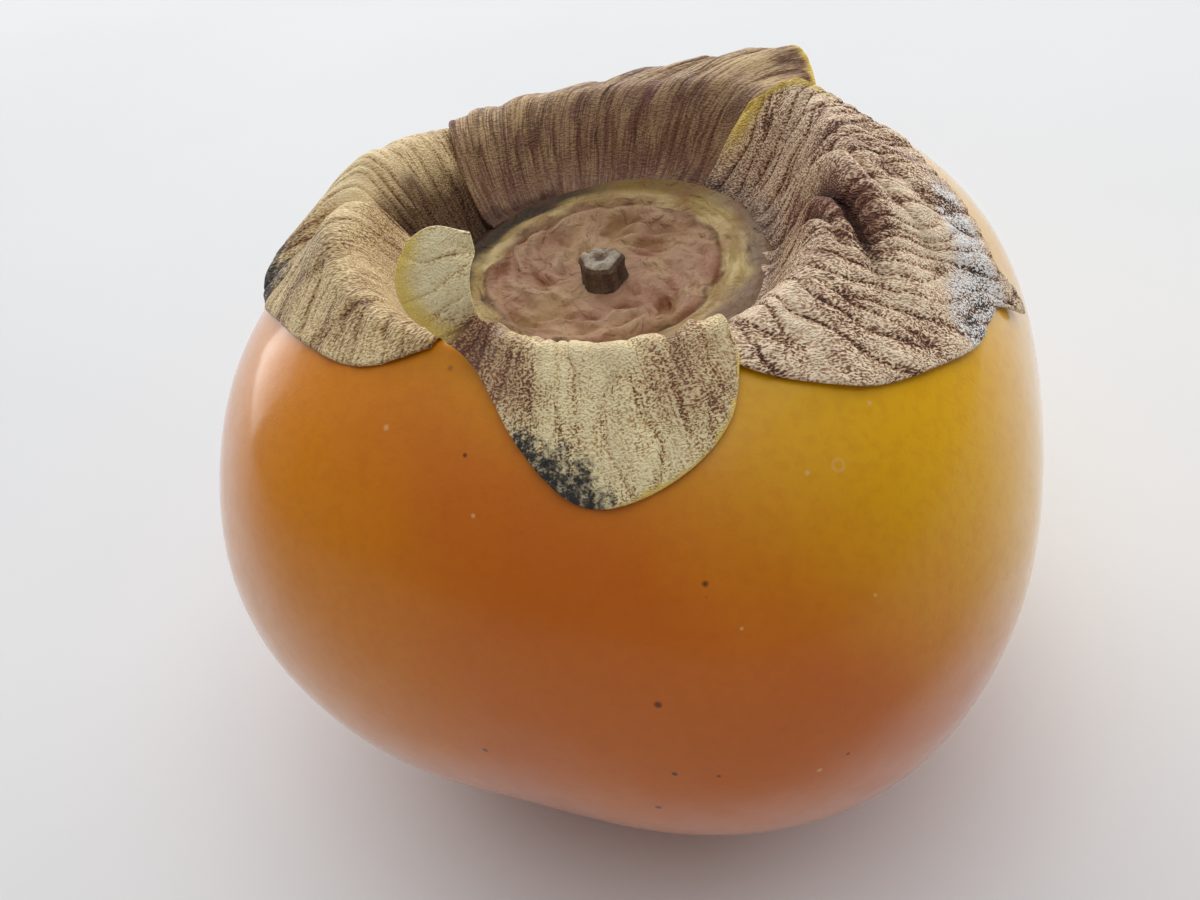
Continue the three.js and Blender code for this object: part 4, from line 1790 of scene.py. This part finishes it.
def front_sepal() -> Sepal:
    """The sepal over the front shoulder, its left end pinched to a neck and standing up as a spoon.

    Returns:
        The sepal, ready to build.
    """
    return Sepal(
        node="sepal_front",
        rails=(
            ((240, 17.7, 10.2), (240, 17.9, 8.3), (240, 19.5, 5.3), (240, 19.2, 2.6), (242, 17.2, 2.4),
             (246, 13.4, 2.2), (258, 13.2, 2.2), (270, 13.2, 2.2), (282, 13.2, 2.2), (293, 13.2, 2.2)),
            ((234, 18.6, 10), (233.5, 20, 7.6), (234.5, 20.8, 5), (238, 20.2, 2.2), (243, 20.2, 1.2),
             (251, 20.3, 1.0), (260, 20.6, 0.9), (271, 20.8, 1.1), (281, 20.6, 1.3), (289, 20.3, 1.6)),
            ((230, 20.1, 9.2), (227.5, 21.6, 7.6), (229, 21.6, 4.6), (236, 21.1, 2), (243, 22.5, 1),
             (251, 26.2, 0.5), (260, 29.2, 0.4), (271, 29.3, 0.4), (281, 27.6, 0.7), (287, 24.3, 1.2)),
        ),
        ripples=6,
        ripple_height=0.18,
        folds=(
            Fold(0.54, 0.50, 0.035, -0.2, 0.60, 0.20),
            Fold(0.70, 0.74, 0.022, -0.25, 0.55, 0.20),
            Fold(0.80, 0.81, 0.024, 0.3, 0.60, 0.22),
            Fold(0.88, 0.83, 0.015, -0.6, 0.45, 0.22),
            Fold(0.925, 0.90, 0.016, 0.4, 0.42, 0.20),
        ),
        veins=Veins(spacing=1.5, length=9.0, height=0.09, wander=0.7, buckle=0.25),
        chars=(
            Char(250.5, 26.2, 1.7), Char(254.2, 27.6, 2.3), Char(257, 28.7, 2.6), Char(259.3, 29.2, 2.1),
        ),
        rims=(OliveRim(0.0, 0.30, 2.3), OliveRim(0.72, 1.0, 0.4)),
        mauve=0.5,
        columns=320,
        rows=84,
        seed=21,
        free_end=0.34,
        painted_light_patches=(
            PaintedLightPatch(243, 21.4, 0.8, 3.6, -0.26), PaintedLightPatch(248, 23.0, 0.6, 3.5, -0.18),
            PaintedLightPatch(279, 24.0, 0.6, 5.0, -0.26), PaintedLightPatch(284, 18.0, 1.2, 5.0, -0.26),
            PaintedLightPatch(261, 19.5, 0.8, 5.5, 0.14), PaintedLightPatch(264, 25.5, 0.4, 4.0, 0.08),
            PaintedLightPatch(235, 20.0, 7.0, 4.5, 0.30), PaintedLightPatch(238, 20.0, 2.2, 3.0, -0.40),
        ),
        painted_shades=(PaintedShade(279, 287, 22.0, 0.3),),
    )


def right_sepal() -> Sepal:
    """The largest sepal, spread over the right shoulder to a small pointed tip.

    Returns:
        The sepal, ready to build.
    """
    return Sepal(
        node="sepal_right",
        rails=(
            ((-64, 13.2, 2.2), (-41, 13.2, 2.2), (-14, 13.2, 2.2), (13, 13.2, 2.2), (44, 13.2, 2.2)),
            ((-68.5, 20, 0.4), (-46, 21.5, 1.1), (-18, 22, 2.0), (9, 20.6, 1.7), (37, 17.2, 1.7)),
            ((-76, 23.4, 0.4), (-72, 25.3, 0.4), (-66, 27.2, 0.4), (-57.5, 29.4, 0.4), (-45.6, 30.7, 0.4),
             (-35.3, 31.6, 0.4), (-24.4, 32.0, 0.5), (-18.5, 34.1, 1.4), (-15.6, 32.2, 0.8), (-9, 30.8, 0.8),
             (-2, 29.2, 0.9), (5, 27.2, 1), (11, 25.2, 1.4), (19, 22.8, 1.9), (26, 20.4, 2.3),
             (33, 18.6, 2.2)),
        ),
        ripples=7,
        ripple_height=0.2,
        folds=(
            Fold(0.66, 0.22, 0.034, 1.0, 0.42, 0.34),
            Fold(0.583, 0.166, 0.026, -2.1, 0.36, 0.24),
            Fold(0.535, 0.14, 0.020, 0.5, 0.34, 0.28),
            Fold(0.495, 0.12, 0.018, -1.2, 0.26, 0.18),
            Fold(0.455, 0.10, 0.024, 0.4, 0.34, 0.30),
            Fold(0.715, 0.30, 0.016, -0.5, 0.45, 0.32),
            Fold(0.755, 0.36, 0.024, 0.2, 0.45, 0.36),
            Fold(0.80, 0.44, 0.014, -0.35, 0.45, 0.34),
            Fold(0.84, 0.52, 0.024, 0.2, 0.45, 0.36),
            Fold(0.90, 0.68, 0.014, -0.3, 0.40, 0.34),
        ),
        veins=Veins(spacing=1.5, length=16.0, height=0.12, wander=0.6, buckle=0.2, slant=0.9, bend=10.0),
        chars=(
            Char(-10, 28.0, 0.9), Char(-14, 28.7, 1.1), Char(-19, 29.3, 1.2),
            Char(-23.5, 30.2, 1.4), Char(-28, 30.5, 1.5), Char(-33.5, 30.8, 1.4),
        ),
        rims=(OliveRim(0.86, 1.0, 2.0),),
        end_rim=4.5,
        mauve=0.5,
        columns=400,
        rows=100,
        seed=31,
        painted_light_patches=(
            PaintedLightPatch(-26, 26.1, 0.9, 7.0, 0.20), PaintedLightPatch(-42, 26.7, 0.7, 5.0, 0.10), PaintedLightPatch(11, 18.7, 1.8, 5.0, 0.10),
            PaintedLightPatch(-17, 22.9, 1.6, 4.0, 0.12), PaintedLightPatch(-22, 27.0, 1.2, 4.5, 0.16), PaintedLightPatch(-27, 19.5, 0.6, 3.2, -0.5),
            PaintedLightPatch(-31, 22.0, 0.9, 2.8, -0.45), PaintedLightPatch(-13, 16.8, 1.4, 2.2, -0.35),
            PaintedLightPatch(-66, 22.8, 0.4, 4.5, 0.22),
        ),
        painted_shades=(PaintedShade(-2, 60, 15.0, 0.7),),
    )


def back_sepal() -> Sepal:
    """The sepal against the far wall of the basin, its right corner lifted clear of the shoulder.

    Returns:
        The sepal, ready to build.
    """
    return Sepal(
        node="sepal_back",
        rails=(
            ((38, 13.2, 2.0), (64, 13.2, 2.2), (86, 13.2, 2.2), (107, 13.2, 2.2), (130.5, 13.2, 2.4)),
            ((30, 19.2, 0.4), (57, 18.8, 1.2), (80, 18.8, 0.8), (104, 18.6, 0.9), (124.4, 18.6, 1.6)),
            ((26, 24.3, 1.2), (34, 26, 4.8), (46, 25, 4.4), (57, 24, 3.4), (73, 24, 2.4), (90, 24, 1.2),
             (105, 23.5, 1.2), (118.7, 22, 1.7)),
        ),
        ripples=8,
        ripple_height=0.2,
        folds=(),
        veins=Veins(spacing=1.0, length=16.0, height=0.07, wander=0.4, buckle=0.28),
        chars=(Char(71, 22.5, 1.3),),
        rims=(OliveRim(0.0, 0.16, 0.8),),
        mauve=0.95,
        columns=280,
        rows=76,
        seed=41,
        painted_light_patches=(
            PaintedLightPatch(52, 21.0, 2.0, 6.0, 0.10), PaintedLightPatch(38, 22.6, 2.6, 4.5, 0.12), PaintedLightPatch(110, 21.5, 1.2, 5.0, 0.08),
        ),
        painted_shades=(PaintedShade(95, 145, 15.9, 0.9), PaintedShade(30, 145, 20.0, 0.4)),
    )


def left_sepal() -> Sepal:
    """The left sepal, buckled into two ridges with a deep valley between them.

    Returns:
        The sepal, ready to build.
    """
    return Sepal(
        node="sepal_left",
        rails=(
            ((124, 13.2, 1.8), (139, 13.2, 1.7), (149, 13.2, 1.7), (155, 13.2, 1.7), (160, 13.2, 1.8),
             (166, 13.2, 2.6), (177, 13.2, 2.8), (194, 13.2, 2.4), (212, 13.2, 2.2), (231, 13.2, 2.2)),
            ((122.5, 15.2, 0.6), (138, 15.2, 0.7), (149, 15.3, 0.7), (155, 15.4, 0.8), (160.5, 15.4, 1.4),
             (166.5, 15.4, 4.2), (178, 15.4, 4.5), (194, 15.4, 3.4), (211.5, 15.3, 2.4), (230.5, 15.1, 1.9)),
            ((121, 17, 0.4), (137, 17, 0.9), (149, 17.2, 1.0), (156, 17.3, 0.8), (162, 17.4, 1.2),
             (168.5, 17.4, 4.6), (179, 17.4, 4.6), (194, 17.3, 3.2), (211, 17.2, 1.9), (230, 16.8, 1.5)),
            ((118, 20, 0.4), (136, 20.3, 2.0), (149, 20.8, 3.0), (158, 21.2, 2.2), (165, 21.3, 0.7),
             (171.5, 21, 2.0), (181, 21.2, 2.6), (196, 21, 1.8), (212, 20.5, 1), (229, 18.6, 0.7)),
            ((116, 22.2, 0.4), (137, 24.2, 2.4), (153, 25.0, 2.3), (165, 26.6, 2.3), (172.5, 28.2, 2.5),
             (178, 28.2, 1.0), (187, 26.8, 0.8), (200, 25.4, 0.4), (215, 23.9, 0.4), (228, 20.6, 0.4)),
        ),
        ripples=6,
        ripple_height=0.18,
        folds=(),
        veins=Veins(spacing=1.6, length=16.0, height=0.10, wander=0.5, buckle=0.25),
        chars=(Char(170, 28.8, 3.2), Char(174, 27.5, 2.2)),
        rims=(),
        mauve=0.45,
        columns=320,
        rows=90,
        seed=51,
        painted_light_patches=(
            PaintedLightPatch(151, 19.6, 2.3, 5.0, 0.24), PaintedLightPatch(159, 21.2, 1.9, 4.5, 0.22),
            PaintedLightPatch(136, 19.6, 1.4, 4.5, 0.16),
        ),
        painted_shades=(PaintedShade(105, 164, 18.6, 0.95),),
    )


@dataclass(frozen=True)
class SoftLight:
    """One soft rectangular light that faces the fruit.

    Attributes:
        name: Its name.
        place: Its middle, in metres.
        size: Its width and height, in metres.
        power: Its power, in watts.
        colour: Its colour.
        mirrored: Whether glossy surfaces reflect it.
        target: The point that it faces, in metres.
    """

    name: str
    place: Triple
    size: Span
    power: float
    colour: Colour = (1.0, 1.0, 1.0)
    mirrored: bool = True
    target: Triple = (0.0, 0.0, 0.03)

    def hang(self) -> None:
        """Hang the light with its back away from the target and its lower edge level."""
        light = bpy.data.lights.new(self.name, "AREA")
        light.shape = "RECTANGLE"
        light.size, light.size_y = self.size
        light.energy = self.power
        light.color = self.colour
        lamp = bpy.data.objects.new(self.name, light)
        away = np.array(self.place) - np.array(self.target)
        back = away / np.linalg.norm(away)
        side = np.cross([0.0, 0.0, 1.0], back)
        side /= np.linalg.norm(side)
        turn = np.column_stack([side, np.cross(back, side), back, self.place])
        lamp.matrix_world = Matrix([*turn.tolist(), [0.0, 0.0, 0.0, 1.0]])
        lamp.visible_glossy = self.mirrored
        bpy.context.scene.collection.objects.link(lamp)


@dataclass
class Studio:
    """The floor, the soft lights and the camera.

    Attributes:
        image_width: Width of the photograph, in pixels.
        image_height: Height of the photograph, in pixels.
        focal_pixels: Focal length in the photograph's pixels.
        elevation: Camera's height above the horizon, in degrees.
        roll: Camera's lean, in degrees.
        distance: Way from the camera to the middle of the widest ring.
        centre_pixel: Where the middle of the widest ring falls in the photograph.
        target_height: Height of the widest ring.
        sensor: Camera sensor's width.
        floor_edges: Left, right, near and far edge of the floor.
        clip: Nearest and farthest that the camera sees, in metres.
        lamps: The soft lights.
        room_low: Colour of the room low down.
        room_high: Its colour high up.
        room_behind: Its colour behind the table.
        high_span: Heights of a look upwards between which the colour turns.
        behind_span: The same for a look backwards.
    """

    image_width: float = 1200.0
    image_height: float = 900.0
    focal_pixels: float = 1250.0
    elevation: float = 42.1
    roll: float = -12.2
    distance: float = 119.1
    centre_pixel: Span = (635.3, 443.0)
    target_height: float = 29.7
    sensor: float = 36.0
    floor_edges: tuple[float, float, float, float] = (-900.0, 700.0, -900.0, 1100.0)
    clip: Span = (0.005, 20.0)
    lamps: tuple[SoftLight, ...] = (
        SoftLight("Skylight", (0.10, -0.10, 1.05), (1.0, 0.9), 3.4),
        SoftLight("Window back", (-0.05, 0.80, 0.48), (1.1, 0.5), 3.2, (0.97, 0.99, 1.0)),
        SoftLight("Window left", (-0.78, 0.63, 0.14), (0.36, 0.46), 1.0, (1.0, 0.98, 0.95)),
        SoftLight("Window right", (0.82, 0.50, 0.24), (0.5, 0.4), 4.0, mirrored=False),
    )
    room_low: Colour = (0.08, 0.08, 0.08)
    room_high: Colour = (0.50, 0.51, 0.52)
    room_behind: Colour = (0.95, 0.97, 1.0)
    high_span: Span = (0.3, 0.8)
    behind_span: Span = (0.45, 0.75)

    def camera(self) -> None:
        """Stand the camera where the photograph was taken from.

        The camera looks back along its own axis at the widest ring, leans by the roll, and is moved
        sideways so that the ring's middle falls on its pixel.
        """
        lift = math.radians(self.elevation)
        lean = math.radians(self.roll)
        back = np.array([0.0, -math.cos(lift), math.sin(lift)])
        level = np.array([1.0, 0.0, 0.0])
        upright = np.cross(back, level)
        right = math.cos(lean) * level + math.sin(lean) * upright
        up = math.cos(lean) * upright - math.sin(lean) * level
        offset_x = (self.centre_pixel[0] - self.image_width / 2) / self.focal_pixels
        offset_y = (self.image_height / 2 - self.centre_pixel[1]) / self.focal_pixels
        target = np.array([0.0, 0.0, self.target_height])
        position = target + self.distance * (back - offset_x * right - offset_y * up)
        lens = bpy.data.cameras.new("Camera")
        lens.sensor_fit = "HORIZONTAL"
        lens.sensor_width = self.sensor
        lens.lens = self.sensor * self.focal_pixels / self.image_width
        lens.clip_start, lens.clip_end = self.clip
        camera = bpy.data.objects.new("Camera", lens)
        turn = np.column_stack([right, up, back, position * MM])
        camera.matrix_world = Matrix([*turn.tolist(), [0.0, 0.0, 0.0, 1.0]])
        bpy.context.scene.collection.objects.link(camera)
        bpy.context.scene.camera = camera

    def floor(self, effects: SharedEffects) -> None:
        """Lay the pale floor at height nought.

        Args:
            effects: The shared node groups.
        """
        left, right, near, far = self.floor_edges
        x, y = np.meshgrid([left, right], [near, far])
        points = np.stack([x, y, np.zeros((2, 2))], axis=-1)
        index = np.arange(4).reshape(2, 2)
        floor = SurfaceMesh(points.reshape(-1, 3), grid_quads(index)).to_object("pale_floor")
        floor.data.materials.append(FloorFinish().material(effects))

    def lights(self) -> None:
        """Light the table from above, behind and both sides, in a room that is brighter behind."""
        world = bpy.data.worlds.new("Soft room")
        world.use_nodes = True
        sketch = NodeSketch(world.node_tree)
        way = sketch.add("TexCoord").outputs["Generated"]
        height = sketch.grade(sketch.axis(way, "Z"), *self.high_span)
        room = sketch.mix(height, self.room_low, self.room_high)
        behind = sketch.grade(sketch.axis(way, "Y"), *self.behind_span)
        shade = sketch.mix(behind, room, self.room_behind)
        sketch.feed(world.node_tree.nodes["Background"], {"Color": shade})
        bpy.context.scene.world = world
        for lamp in self.lamps:
            lamp.hang()
        view = bpy.context.scene.view_settings
        view.view_transform = "Standard"
        view.look = "None"
        view.exposure = 0.0


def main() -> None:
    """Build the studio, then the fruit, its disc, its stub and its sepals."""
    logging.basicConfig(level=logging.INFO, format="%(name)s: %(message)s")
    effects = SharedEffects()
    studio = Studio()
    studio.camera()
    studio.floor(effects)
    studio.lights()
    fruit = FruitBody()
    settle(fruit.build(), "fruit", FruitSkinFinish().material(effects))
    settle(CalyxDisc().build(), "calyx_disc", DiscFinish().material(effects))
    settle(StemStub().build(), "stem_stub", StemFinish().material(effects))
    leaves = (
        (front_sepal(), SepalFinish("Front sepal")),
        (right_sepal(), SepalFinish(
            "Right sepal", pale=(1.0, 0.80, 0.57), khaki=(0.63, 0.385, 0.22), brown=(0.24, 0.112, 0.063),
            groove=(0.06, 0.028, 0.020), painted_sheen_share=0.9, crepe_spacing=0.15, crepe_length=0.30,
            vein_share=0.66, crepe_share=0.74, crepe_depth=0.12, streak_share=0.16, lightness=-0.08)),
        (back_sepal(), SepalFinish(
            "Back sepal", pale=(0.68, 0.480, 0.255), khaki=(0.34, 0.200, 0.108), brown=(0.180, 0.090, 0.056),
            linting=0.1, crepe_length=0.4, vein_share=0.35, crepe_share=0.24, crepe_depth=0.05,
            streak_share=0.40, lightness=-0.03)),
        (left_sepal(), SepalFinish(
            "Left sepal", pale=(0.88, 0.68, 0.385), khaki=(0.59, 0.41, 0.185), brown=(0.30, 0.168, 0.076),
            crepe_length=0.32, crepe_share=0.42, crepe_depth=0.07, streak_share=0.34, lightness=-0.03)),
    )
    for sepal, finish in leaves:
        settle(sepal.build(fruit), sepal.node, finish.material(effects))


if __name__ == "__main__":
    main()
